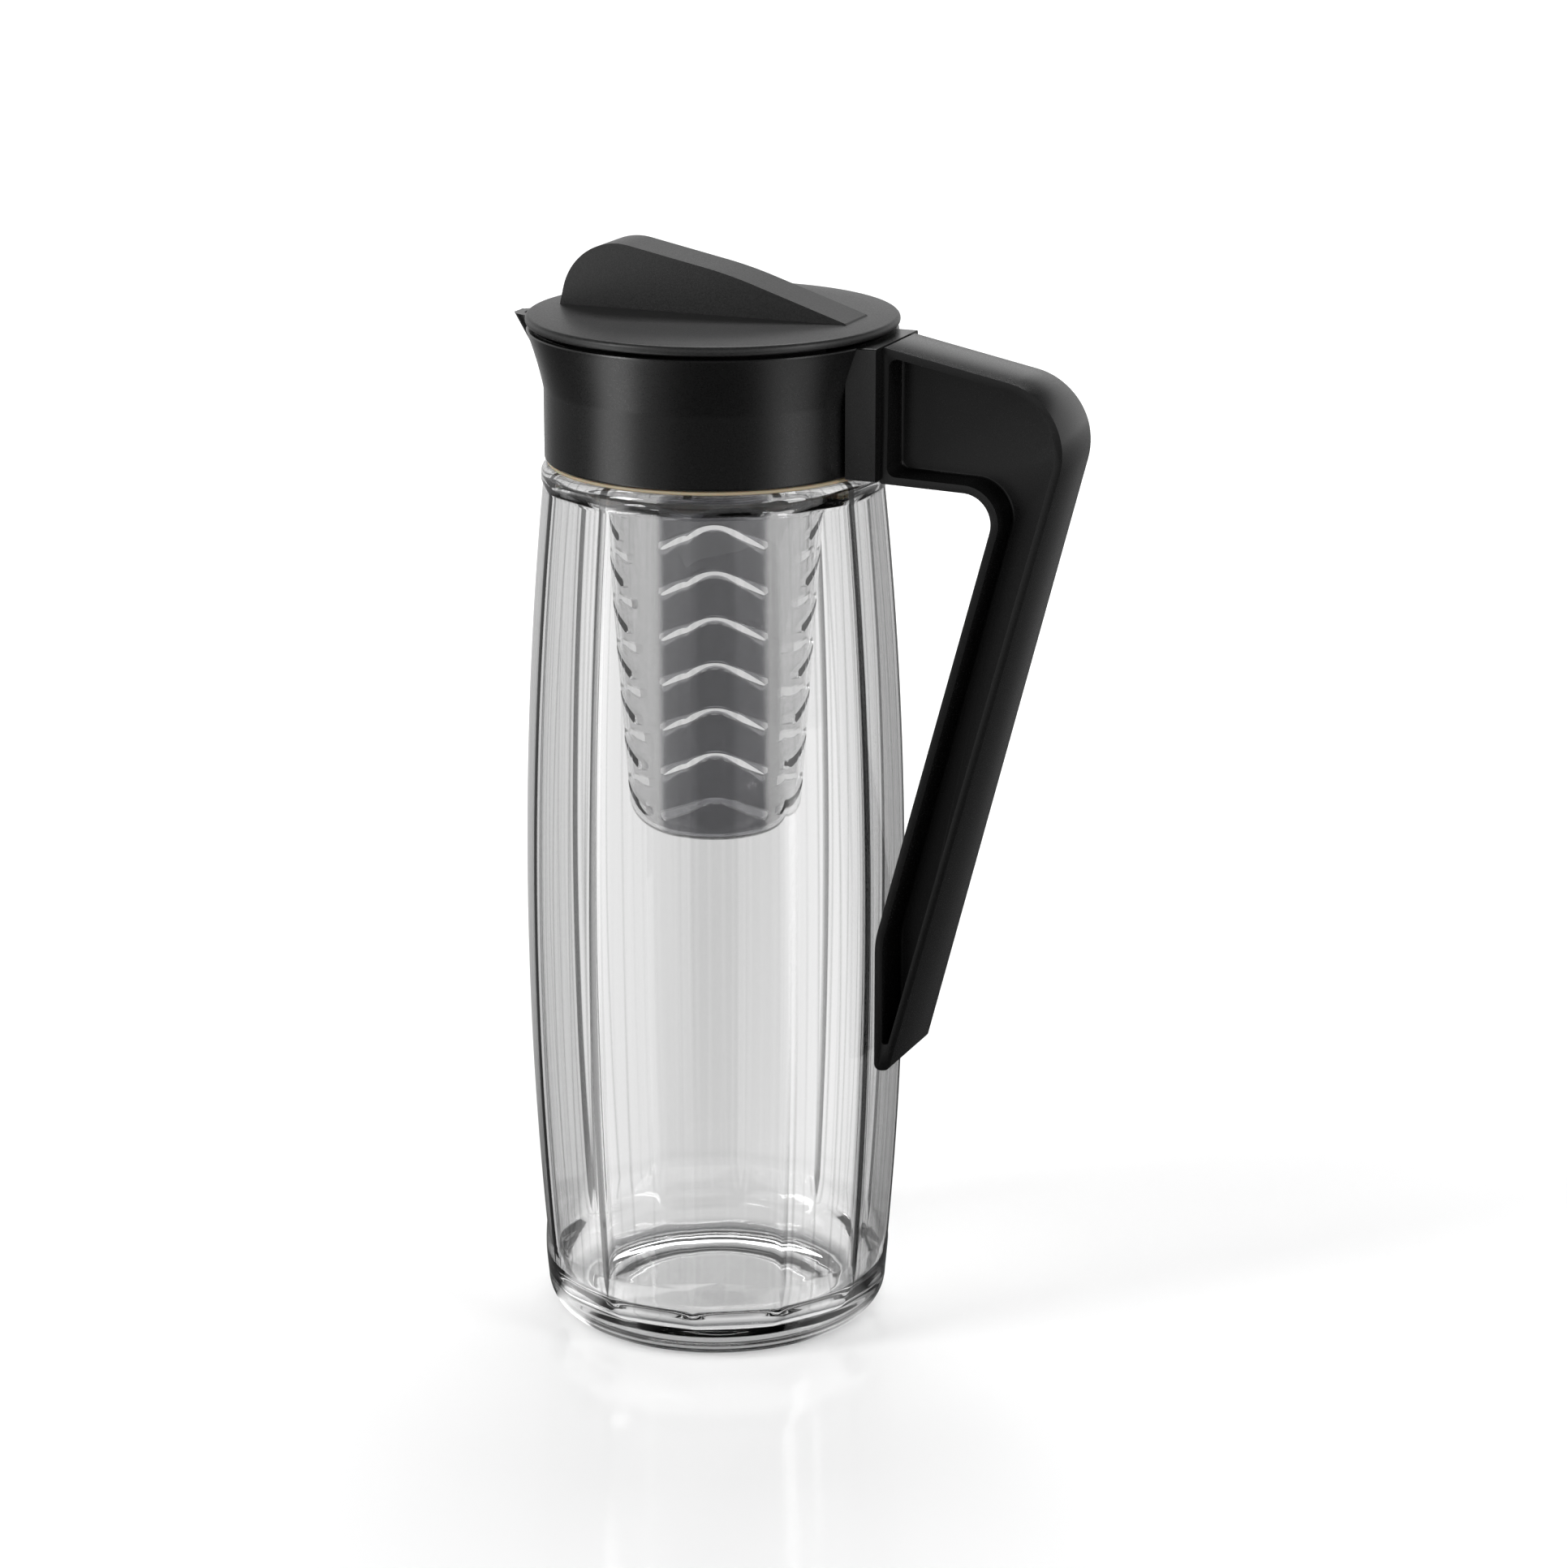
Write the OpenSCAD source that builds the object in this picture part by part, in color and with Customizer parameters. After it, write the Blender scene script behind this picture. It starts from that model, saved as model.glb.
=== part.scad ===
// Fruit infuser pitcher: a clear fluted jug, a black pouring collar with a long handle, and a lid
// that carries a slotted basket for fruit. Millimetres, +Z up. The origin is the middle of the
// flat base, the handle points along +X and the pouring lip along -X.

/* [Jug] */
// Largest radius of the barrel, on the ridges between the flutes
crown_r = 53; // [52.6:0.1:53.4]
// Height of that largest radius
crown_z = 118; // [112:1:124]
// Radius of the long curve that the barrel's side follows
barrel_arc_r = 1170; // [1150:10:1200]
// Height of the barrel up to the shoulder
barrel_h = 240; // [236:0.5:244]
// Number of flutes around the barrel
flutes = 12; // [10:1:14]
// How far the middle of a flute lies inside the ridges
flute_depth = 1.1; // [0.8:0.05:1.3]
// Thickness of the jug's wall
wall = 2.4; // [2.2:0.1:2.6]
// Thickness of the jug's floor
floor_t = 7; // [6:0.5:8]
// Rounding of the bottom edge
base_round = 9.3; // [8:0.1:10]

/* [Neck] */
// Height of the shoulder, from the barrel up to the ledge under the collar
shoulder_h = 3.2; // [2.8:0.1:3.6]
// How far the neck's outside lies inside the barrel's largest radius
neck_step = 11.2; // [11:0.1:11.6]
// Wall thickness of the neck
neck_wall = 2.4; // [2.2:0.1:2.6]
// Height of the neck above the ledge
neck_h = 19.2; // [18.6:0.1:19.6]
// How far the snap bead stands out from the neck
bead_h = 0.5; // [0.4:0.05:0.6]

/* [Collar] */
// Thickness of the gasket under the collar
gasket_t = 1.1; // [0.9:0.1:1.4]
// How far the collar stands out from the neck, below the flare
collar_step = 3.7; // [3.6:0.1:4]
// Height of the collar's upright part
collar_straight = 19.4; // [19:0.1:20]
// Height of the flare above it
flare_h = 16; // [15:0.5:17]
// Radius of the flare's hollow curve
flare_arc_r = 105; // [100:1:110]
// Lean of the flare from upright where it begins
flare_lean = 11.3; // [11:0.1:12]
// Wall thickness of the flared bowl
bowl_t = 2.2; // [2:0.1:2.4]
// Lean of the pouring lip from upright
lip_lean = 20; // [18:1:22]

/* [Handle] */
// How far the bracket stands out from the collar
bracket_reach = 7.4; // [7.2:0.1:8]
// Width of the bracket on the collar
bracket_w = 30.5; // [30.4:0.1:31]
// Distance from the bracket out to the corner of the elbow
handle_reach = 54.8; // [50:0.5:58]
// Distance from the rim down to the corner of the elbow
elbow_drop = 10.8; // [10:0.2:12]
// Distance from the barrel's widest place down to the handle's lower end
heel_drop = 37.2; // [35:0.2:40]
// Width of the grip seen from the side, along the level
grip_w = 21.2; // [20:0.2:22]
// Rounding of the outer elbow
elbow_round = 18.5; // [17:0.5:20]
// Rounding of the inner elbow
inner_round = 8; // [7:0.5:9]
// Thickness of the rail that runs round the handle
rail_t = 2.1; // [1.9:0.1:2.3]
// Thickness of the web between the two recesses
web_t = 2.6; // [2.4:0.1:3]
// Width of the handle at the bracket
plate_w = 30.4; // [30:0.1:30.4]
// Width of the handle at the elbow
elbow_w = 22; // [21:0.5:23]
// Width of the handle at its lower end
foot_w = 39; // [37:0.5:40]

/* [Lid] */
// How far the lid disc stands out past the rim
lid_overhang = 0.16; // [0:0.02:0.4]
// Thickness of the lid disc
lid_t = 3.3; // [3:0.1:3.6]
// Shadow gap between the rim and the disc
lid_gap = 1; // [0.8:0.1:1.2]
// Thickness of the grip fin
fin_t = 15; // [14:0.5:16]
// Height of the corner that the fin's round peak replaces, above the disc
fin_h = 20.1; // [19:0.1:21]
// Rounding of the fin's high end
fin_round = 16.5; // [15:0.5:17]

/* [Basket] */
// How far the basket's top edge lies inside the neck
basket_step = 7.5; // [7.4:0.1:7.8]
// How much the basket's radius grows per unit of height
basket_slope = 0.0686; // [0.068:0.0002:0.069]
// Height of the basket
basket_h = 123.65; // [121:0.05:125]
// Wall thickness of the basket
basket_wall = 1.6; // [1.5:0.1:1.7]
// Number of slot rows
slot_rows = 7; // [5:1:7]
// Number of slot columns around the basket
slot_columns = 4; // [3:1:4]
// Distance from one slot to the next above it
slot_pitch = 12.78; // [12.5:0.02:12.9]
// Width of a slot across its stroke
slot_w = 2.4; // [2:0.1:2.6]

/* [Hidden] */
$fn = 96;

// Small gap between pieces that touch without moving
touch = 0.15;
// Gap between pieces that move past each other
run = 0.3;
// Gap of a shaft in its bore
shaft_gap = 0.05;
// Overrun that makes a cut pass through
past = 1;

// Jug: how far the ridges are blunted, and how far a flute's surface is moved out from its centre
blunt = 0.12;
half_turn = 180 / flutes;
crown_mid = crown_r - flute_depth;
panel_shift = (crown_r * crown_r - crown_mid * crown_mid)
              / (2 * (crown_mid - crown_r * cos(half_turn)));
// Points across one flute, rings up the barrel and rings where a flute fades
flute_steps = 6;
barrel_steps = 10;
fade_steps = 3;
corner_steps = 8;
// Slope of the barrel's side where it meets the base and the shoulder
edge_turn = 8;
// Plain ring above the bottom edge, and the height over which a flute fades in
base_ring = 3.7;
fade_low = 9;
flute_start = base_round + base_ring;
flute_low = flute_start + fade_low;
// The same at the shoulder, where a flute fades out past the barrel's end
flute_margin = 2.6;
fade_high = 3;
flute_high = barrel_h - flute_margin;
fade_out = flute_depth + blunt + past / 2;
// How deep the fluted wall is sunk into the turned base and neck
lap = 0.06;
inner_corner = 11;
shoulder_round = 2.4;
// Heights and places on the neck
neck_r = crown_r - neck_step;
ledge_z = barrel_h + shoulder_h;
neck_top = ledge_z + neck_h;
neck_in = neck_r - neck_wall;
bead_rise = 3.6;
bead_w = 2.2;
bead_low = ledge_z + bead_rise;

// Collar
collar_r = neck_r + collar_step;
collar_bottom = ledge_z + gasket_t + 2 * touch;
flare_z = collar_bottom + collar_straight;
rim_z = flare_z + flare_h;
flare_end = asin(sin(flare_lean) + flare_h / flare_arc_r);
edge_round = 0.8;
gasket_margin = 0.8;
socket_gap = 0.2;
socket_r = neck_r + socket_gap;
shelf_low = neck_top + socket_gap;
shelf_t = 2.2;
shelf_top = shelf_low + shelf_t;
bowl_r = collar_r - bowl_t;
bowl_step = 1;

// Pouring lip: a slanted cone that starts small inside the collar's wall
lip_sink = 6;
lip_inset = 1.5;
lip_low_r = 1.6;
lip_top_r = 6;
lip_t = 1.6;
lip_least = 0.1;
lip_z = flare_z - lip_sink;
lip_len = (rim_z - lip_z) / cos(lip_lean) + lip_top_r * sin(lip_lean);

// Bracket socket and the handle's tongue in it
seam_x = collar_r + bracket_reach;
tongue_w = 17.6;
tongue_margin = 5;
tongue_deep = 5.1;
tongue_low = collar_bottom + tongue_margin;
tongue_high = rim_z - tongue_margin;

// Handle
elbow_x = seam_x + handle_reach;
elbow_z = rim_z - elbow_drop;
heel_gap = 0.6;
heel_x = crown_r + heel_gap;
heel_z = crown_z;
foot_z = heel_z - heel_drop;
heel_round = 25;
foot_t = 4.1;
foot_rise = 0.6;
foot_round = 1.8;
foot_solid = 7.4;
plate_t = 2;
plate_round = 0.8;
plate_hang = 0.8;
arm_hang = 1.6;
recess_round = 2.4;
slot_end_round = 0.7;
plate_low = collar_bottom - plate_hang;
armpit_z = collar_bottom - arm_hang;

// Screws from inside the collar into the tongue
screw_side = 7;
screw_rise = 6.5;
screw_z = tongue_low + screw_rise;
screw_head_r = 3.2;
screw_head_t = 1.9;
screw_sink = 0.5;
screw_r = 1.45;
screw_seat_x = socket_r + screw_sink + screw_head_t;
screw_end_x = seam_x + plate_t / 4;
screw_bore_end_x = seam_x + plate_t / 2;
drive_r = 1.1;
drive_deep = 1.1;

// Lid disc and fin
lid_r = collar_r + flare_arc_r * (cos(flare_lean) - cos(flare_end)) + lid_overhang;
lid_bottom = rim_z + lid_gap;
lid_top = lid_bottom + lid_t;
disc_round = 1.2;
fin_sink = 0.8;
fin_front_margin = 8.3;
fin_back_margin = 6.7;
fin_front_lean = 4.9;
fin_bend_x = 8;
fin_bend_h = 11.1;
fin_bend_round = 120;
fin_foot_round = 0.2;

// Plug that closes the neck
plug_gap = 0.4;
plug_t = 1.5;
plug_r = bowl_r - plug_gap;
plug_low = shelf_top + touch;
plug_top = plug_low + plug_t;
skirt_gap = 0.5;
skirt_r = neck_in - skirt_gap;
skirt_t = 2.3;
skirt_deep = 12;
skirt_low = plug_low - skirt_deep;
groove_rise = 3.4;
groove_w = 3.2;
groove_deep = 1.3;
groove_low = skirt_low + groove_rise;

// Basket, and the spigot that it pushes on to
basket_top = plug_low - run;
basket_bottom = basket_top - basket_h;
basket_top_r = neck_in - basket_step;
basket_round = 9;
spigot_deep = 11;
spigot_low = plug_low - spigot_deep;
spigot_t = 2;
slot_rise_z = 14.6;
slot_share = 0.615;
slot_drop = 7.2;
slot_peak_round = 9;
slot_tip_round = 1;
slot_phase = -66.3;

// Post of the lid, its bore in the plug's hub and the clip below it
post_r = 5.95;
bore_r = post_r + shaft_gap;
hub_t = 3;
hub_r = bore_r + hub_t;
hub_deep = 7;
hub_low = plug_low - hub_deep;
clip_t = 1.2;
clip_deep = 0.95;
clip_reach = 2.6;
clip_low = hub_low - run - clip_t;
clip_gap = 12;
post_tip = 1.8;
tip_round = 0.5;

// Slots for pouring and for air, and the shutter that turns over them
window_margin = 0.4;
window_step = 9;
window_turn = 6.4;
pour_windows = [-3 : 3];
vent_windows = [-1 : 1];
shutter_t = 1.5;
shutter_low = plug_top + run;
drum_margin = 3.3;
drum_t = 2;
drum_r = plug_r - drum_margin;
pour_gate = 36;
vent_gate = 18;

// Points of an arc from angle a to angle b round a centre
function arc(centre, radius, a, b, steps) =
    [for (i = [0 : steps]) centre + radius * [cos(a + (b - a) * i / steps), sin(a + (b - a) * i / steps)]];

function unit(v) = v / norm(v);
function cross2(a, b) = a[0] * b[1] - a[1] * b[0];

// One rounded corner at p between its neighbours before and after it
function rounded(before, p, after, radius, steps) =
    let (u = unit(before - p), v = unit(after - p),
         half = acos(u * v) / 2,
         back = radius / tan(half),
         centre = p + unit(u + v) * radius / sin(half),
         first = p + u * back - centre,
         turn = (cross2(v, u) > 0 ? 1 : -1) * (180 - 2 * half),
         start = atan2(first[1], first[0]))
    [for (i = [0 : steps]) centre + radius * [cos(start + turn * i / steps), sin(start + turn * i / steps)]];

// A closed outline with each corner rounded by its own radius
function round_path(points, radii, steps) =
    let (n = len(points))
    [for (i = [0 : n - 1])
        each rounded(points[(i + n - 1) % n], points[i], points[(i + 1) % n], radii[i], steps)];

// A closed outline with each edge moved to its left by its own distance
function inset_path(points, shifts) =
    let (n = len(points))
    [for (i = [0 : n - 1])
        let (a = points[(i + n - 1) % n], b = points[i], c = points[(i + 1) % n],
             d = unit(b - a), e = unit(c - b),
             p = b + shifts[(i + n - 1) % n] * [-d[1], d[0]],
             q = b + shifts[i] * [-e[1], e[0]])
        p + d * cross2(q - p, e) / cross2(d, e)];

// Radius of the barrel's ridges at height z
function ridge_at(z) =
    crown_r - barrel_arc_r + sqrt(barrel_arc_r * barrel_arc_r - (z - crown_z) * (z - crown_z));

// Radius of a flute's middle at height z
function flute_at(z) = ridge_at(z) - flute_depth;

// Heights in even steps between two levels
function levels(low, high, steps) = [for (i = [0 : steps]) low + (high - low) * i / steps];

// How far a flute's surface stands out of its curve where it fades at height z
function fade_at(z) =
    fade_out * (max(0, flute_low - z) / fade_low + max(0, z - flute_high) / fade_high);

// Radius of a flute's surface at height z, in the direction that lies turn off the flute's middle
function panel_at(z, turn) =
    let (far = flute_at(z) + fade_at(z) + panel_shift, side = panel_shift * sin(turn))
    sqrt(far * far - side * side) - panel_shift * cos(turn);

// Radius of the wall's outside, which is the flute or the blunted ridge
function outer_at(z, turn) = min(ridge_at(z) - blunt, panel_at(z, turn)) - lap;

// Radius of the wall's inside, which also rounds into the floor
function inner_at(z, turn) =
    let (up = max(0, floor_t + inner_corner - z),
         corner = inner_corner - sqrt(inner_corner * inner_corner - up * up))
    outer_at(z, turn) - wall - corner;

// Heights of the rings that make up the fluted wall
wall_levels = concat(
    [flute_start - past], levels(flute_start, flute_low, fade_steps),
    [for (i = [1 : barrel_steps]) flute_low + (flute_high - flute_low) * i / barrel_steps],
    [for (i = [1 : fade_steps]) flute_high + flute_margin * i / fade_steps]);

// The fluted wall as one closed tube of rings
module fluted_wall() {
    around = flutes * flute_steps;
    rings = len(wall_levels);
    inner = rings * around;
    last = inner - around;
    // Direction of each point off the middle of its own flute
    offs = [for (i = [0 : around - 1])
        ((i + flute_steps / 2) % flute_steps - flute_steps / 2) * 360 / around];
    points = [
        for (side = [0, 1], z = wall_levels, i = [0 : around - 1])
            let (r = side == 0 ? outer_at(z, offs[i]) : inner_at(z, offs[i]), a = i * 360 / around)
            [r * cos(a), r * sin(a), z]];
    faces = [
        for (k = [0 : rings - 2], i = [0 : around - 1])
            let (j = (i + 1) % around, a = k * around, b = inner + a)
            each [[a + i, a + around + i, a + j], [a + j, a + around + i, a + around + j],
                  [b + i, b + j, b + around + i], [b + j, b + around + j, b + around + i]],
        for (i = [0 : around - 1])
            let (j = (i + 1) % around, top = inner + last)
            each [[i, j, inner + i], [j, inner + j, inner + i],
                  [last + i, top + i, last + j], [last + j, top + i, top + j]]];
    polyhedron(points, faces);
}

// Flat base with its rounded edge and the rounded floor inside, up to where the flutes begin
module jug_base() {
    base_x = ridge_at(base_round) - blunt - base_round;
    corner_x = ridge_at(flute_start) - blunt - wall - inner_corner;
    difference() {
        rotate_extrude()
            polygon(concat(
                [[0, 0]],
                arc([base_x, base_round], base_round, -90, 0, corner_steps),
                [[ridge_at(flute_start) - blunt, flute_start], [0, flute_start]]));
        rotate_extrude()
            polygon(concat(
                [[0, floor_t]],
                arc([corner_x, floor_t + inner_corner], inner_corner, -90, 0, corner_steps),
                [[0, floor_t + inner_corner]]));
    }
}

// Shoulder, ledge and neck with its snap bead
module jug_neck() {
    shoulder_x = ridge_at(barrel_h) - blunt - shoulder_round;
    low = barrel_h - wall / 4;
    rotate_extrude()
        polygon(concat(
            [[neck_in + wall, low], [shoulder_x + shoulder_round, low]],
            arc([shoulder_x, ledge_z - shoulder_round], shoulder_round, edge_turn, 90, corner_steps / 2),
            [[neck_r, ledge_z], [neck_r, bead_low], [neck_r + bead_h, bead_low + bead_w / 2],
             [neck_r, bead_low + bead_w], [neck_r, neck_top], [neck_in, neck_top],
             [neck_in, ledge_z - wall / 2]]));
}

module jug_body() {
    color([0.9, 0.92, 0.93, 0.3]) {
        jug_base();
        fluted_wall();
        jug_neck();
    }
}

module neck_gasket() {
    outer = collar_r - gasket_margin;
    low = ledge_z + touch;
    color([0.93, 0.9, 0.8, 0.8])
        rotate_extrude()
            polygon([[neck_r + touch, low], [outer, low], [outer, low + gasket_t],
                     [neck_r + touch, low + gasket_t]]);
}

// Points of the flare, moved inwards by t, from the bottom up
function flare(t) =
    [for (i = [0 : corner_steps])
        let (a = flare_lean + (flare_end - flare_lean) * i / corner_steps)
        [collar_r - t + flare_arc_r * (cos(flare_lean) - cos(a)),
         flare_z + flare_arc_r * (sin(a) - sin(flare_lean))]];

// The room inside the collar: socket for the neck, shelf and bowl
module collar_room() {
    bowl = [for (p = flare(bowl_t)) if (p[1] > shelf_top + bowl_step) p];
    rotate_extrude()
        polygon(concat(
            [[0, collar_bottom - past], [socket_r, collar_bottom - past], [socket_r, bead_low],
             [socket_r + bead_h, bead_low + bead_w / 2], [socket_r, bead_low + bead_w],
             [socket_r, shelf_low], [neck_in, shelf_low], [neck_in, shelf_top], [bowl_r, shelf_top]],
            bowl,
            [bowl[len(bowl) - 1] + [0, past], [0, rim_z + past]]));
}

// The slanted cone of the pouring lip, drawn in by t, between two heights
module lip(t, low) {
    intersection() {
        translate([lip_inset - collar_r, 0, lip_z + t])
            rotate([0, -lip_lean, 0])
                cylinder(h = lip_len, r1 = max(lip_low_r - t, lip_least), r2 = lip_top_r - t);
        translate([-2 * collar_r, -collar_r, low])
            cube([2 * collar_r, 2 * collar_r, rim_z - low + (t > 0 ? past : 0)]);
    }
}

// The collar's turned outer shape with its flare
module collar_outside() {
    rotate_extrude()
        polygon(concat(
            [[0, collar_bottom], [collar_r - edge_round, collar_bottom],
             [collar_r, collar_bottom + edge_round]],
            flare(0),
            [[0, rim_z]]));
}

module collar() {
    pocket_w = tongue_w + 2 * touch;
    color([0.11, 0.11, 0.11])
        difference() {
            union() {
                collar_outside();
                translate([bowl_r, -bracket_w / 2, collar_bottom])
                    cube([seam_x - bowl_r, bracket_w, rim_z - collar_bottom]);
                lip(0, collar_bottom);
            }
            collar_room();
            lip(lip_t, shelf_top);
            translate([seam_x - tongue_deep - touch, -pocket_w / 2, tongue_low - touch])
                cube([tongue_deep + touch + past, pocket_w, tongue_high - tongue_low + 2 * touch]);
            for (side = [-1, 1])
                translate([0, side * screw_side, screw_z])
                    rotate([0, 90, 0]) {
                        translate([0, 0, socket_r - screw_head_t])
                            cylinder(h = screw_seat_x - socket_r + screw_head_t,
                                     r = screw_head_r + touch, $fn = 48);
                        translate([0, 0, socket_r])
                            cylinder(h = seam_x - socket_r, r = screw_r + shaft_gap, $fn = 32);
                    }
        }
}

// Corners of the handle seen from the side: plate, inner elbow, heel, foot and outer elbow
handle_corners = [
    [seam_x, rim_z], [seam_x, plate_low], [elbow_x - grip_w, armpit_z], [heel_x, heel_z],
    [heel_x, foot_z], [heel_x + foot_t, foot_z + foot_rise], [elbow_x, elbow_z]];
handle_rounds = [plate_round, plate_round, inner_round, heel_round, foot_round, foot_round, elbow_round];
// The recess keeps the rail's thickness on the long edges, and more at the plate and the foot
recess_shifts = [plate_t, rail_t, rail_t, rail_t, foot_solid, rail_t, rail_t];
recess_rounds = [recess_round, recess_round, inner_round + rail_t, heel_round + rail_t,
                 slot_end_round, slot_end_round, elbow_round - rail_t];

// A side outline stood up along Y between two places
module side_slab(outline, y_from, y_to) {
    translate([0, y_to, 0])
        rotate([90, 0, 0])
            linear_extrude(y_to - y_from) polygon(outline);
}

// The handle's width, seen from above along the arm and from behind down the grip
module handle_width() {
    low = foot_z - past;
    translate([0, 0, low])
        linear_extrude(rim_z - low + past)
            polygon([[seam_x, -plate_w / 2], [elbow_x, -elbow_w / 2],
                     [elbow_x, elbow_w / 2], [seam_x, plate_w / 2]]);
    translate([seam_x, 0, 0])
        rotate([90, 0, 90])
            linear_extrude(elbow_x - seam_x)
                polygon([[-foot_w / 2, low], [foot_w / 2, low],
                         [elbow_w / 2, elbow_z], [-elbow_w / 2, elbow_z]]);
}

module handle() {
    outline = round_path(handle_corners, handle_rounds, corner_steps);
    recess = round_path(inset_path(handle_corners, recess_shifts), recess_rounds, corner_steps);
    color([0.13, 0.13, 0.13])
        difference() {
            union() {
                intersection() {
                    side_slab(outline, -foot_w, foot_w);
                    handle_width();
                }
                translate([seam_x - tongue_deep, -tongue_w / 2, tongue_low])
                    cube([tongue_deep + plate_t / 2, tongue_w, tongue_high - tongue_low]);
            }
            side_slab(recess, web_t / 2, foot_w);
            side_slab(recess, -foot_w, -web_t / 2);
            for (side = [-1, 1])
                translate([seam_x - tongue_deep - past, side * screw_side, screw_z])
                    rotate([0, 90, 0])
                        cylinder(h = screw_bore_end_x - seam_x + tongue_deep + past,
                                 r = screw_r + shaft_gap, $fn = 32);
        }
}

module handle_screws() {
    head_x = screw_seat_x - screw_head_t;
    color([0.7, 0.7, 0.7])
        for (side = [-1, 1])
            translate([head_x, side * screw_side, screw_z])
                rotate([0, 90, 0])
                    difference() {
                        union() {
                            cylinder(h = screw_head_t, r = screw_head_r, $fn = 48);
                            cylinder(h = screw_end_x - head_x, r = screw_r, $fn = 32);
                        }
                        translate([0, 0, -past])
                            cylinder(h = drive_deep + past, r = drive_r, $fn = 6);
                    }
}

// A ring between two radii, from one height up to another
module ring(inner, outer, low, high) {
    translate([0, 0, low])
        difference() {
            cylinder(h = high - low, r = outer);
            translate([0, 0, -past])
                cylinder(h = high - low + 2 * past, r = inner);
        }
}

// A slice of pie from the axis, centred on an angle, used to cut gates and windows
module slice(middle, half, reach, low, high) {
    translate([0, 0, low])
        linear_extrude(high - low)
            polygon([[0, 0], reach / cos(half) * [cos(middle - half), sin(middle - half)],
                     reach / cos(half) * [cos(middle), sin(middle)],
                     reach / cos(half) * [cos(middle + half), sin(middle + half)]]);
}

// Outer radius of the basket at height z
function basket_at(z) = basket_top_r + basket_slope * (z - basket_top);

// The pour slots on the lip's side and the air slots on the handle's side
module windows(low, high) {
    half = window_turn / 2;
    intersection() {
        ring(basket_top_r + run, skirt_r - skirt_t - window_margin, low, high);
        union() {
            for (i = pour_windows)
                slice(180 + i * window_step, half, plug_r, low - past, high + past);
            for (i = vent_windows)
                slice(i * window_step, half, plug_r, low - past, high + past);
        }
    }
}

// Corners of the grip fin seen from the side: steep front, round peak, long falling back
fin_front_x = fin_front_margin - lid_r;
fin_corners = [[fin_front_x, lid_top - fin_sink], [lid_r - fin_back_margin, lid_top - fin_sink],
               [fin_bend_x, lid_top + fin_bend_h], [fin_front_x + fin_front_lean, lid_top + fin_h]];
fin_rounds = [fin_foot_round, fin_foot_round, fin_bend_round, fin_round];

// The round lid disc with its soft edge
module lid_disc() {
    x = lid_r - disc_round;
    rotate_extrude()
        polygon(concat(
            [[0, lid_bottom]],
            arc([x, lid_bottom + disc_round], disc_round, -90, 0, corner_steps / 2),
            arc([x, lid_top - disc_round], disc_round, 0, 90, corner_steps / 2),
            [[0, lid_top]]));
}

// The drum under the disc, open at its two gates, and the shutter plate at its foot
module lid_shutter() {
    top = shutter_low + shutter_t;
    difference() {
        ring(drum_r - drum_t, drum_r, shutter_low, lid_bottom + past);
        slice(180, pour_gate, plug_r, top, lid_bottom);
        slice(0, vent_gate, plug_r, top, lid_bottom);
    }
    difference() {
        ring(post_r - tip_round, drum_r, shutter_low, top);
        windows(shutter_low - past, top + past);
    }
}

// The post that the lid turns on, with the groove for its clip
module lid_post() {
    groove_r = post_r - clip_deep;
    low = clip_low - post_tip;
    rotate_extrude()
        polygon([[0, low], [post_r - tip_round, low], [post_r, low + tip_round],
                 [post_r, clip_low - shaft_gap], [groove_r, clip_low - shaft_gap],
                 [groove_r, clip_low + clip_t + shaft_gap], [post_r, clip_low + clip_t + shaft_gap],
                 [post_r, lid_bottom + past], [0, lid_bottom + past]]);
}

module lid_cover() {
    color([0.17, 0.17, 0.17]) {
        lid_disc();
        side_slab(round_path(fin_corners, fin_rounds, corner_steps), -fin_t / 2, fin_t / 2);
        lid_shutter();
        lid_post();
    }
}

module lid_plug() {
    inside = plug_top - plug_t / 2;
    spigot_r = basket_at(spigot_low) - basket_wall - run;
    color([0.15, 0.15, 0.15]) {
        difference() {
            ring(bore_r, plug_r, plug_low, plug_top);
            windows(plug_low - past, plug_top + past);
        }
        difference() {
            ring(skirt_r - skirt_t, skirt_r, skirt_low, inside);
            ring(skirt_r - groove_deep, skirt_r + past, groove_low, groove_low + groove_w);
        }
        ring(spigot_r - spigot_t, spigot_r, spigot_low, inside);
        ring(bore_r, hub_r, hub_low, inside);
    }
}

module lid_gasket() {
    inner = skirt_r - groove_deep + shaft_gap;
    outer = neck_in - shaft_gap;
    low = groove_low + touch;
    high = groove_low + groove_w - touch;
    color([0.9, 0.9, 0.88])
        rotate_extrude()
            polygon([[inner, low], [skirt_r, low], [outer, (low * 3 + high) / 4],
                     [skirt_r, (low + high) / 2], [outer, (low + high * 3) / 4],
                     [skirt_r, high], [inner, high]]);
}

module lid_retainer() {
    color([0.75, 0.75, 0.75])
        difference() {
            ring(post_r - clip_deep + shaft_gap, post_r + clip_reach, clip_low, clip_low + clip_t);
            slice(180, clip_gap, hub_r, clip_low - past, clip_low + clip_t + past);
        }
}

// One chevron slot lying flat: a pointed stroke with a round peak
module chevron() {
    side = slot_w / 2;
    low = -slot_drop - side;
    half = slot_share * basket_at(basket_bottom);
    polygon(round_path(
        [[-half, low], [0, -side], [half, low],
         [half, low + slot_w], [0, side], [-half, low + slot_w]],
        [slot_tip_round, slot_peak_round - side, slot_tip_round,
         slot_tip_round, slot_peak_round + side, slot_tip_round],
        corner_steps / 2));
}

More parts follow.
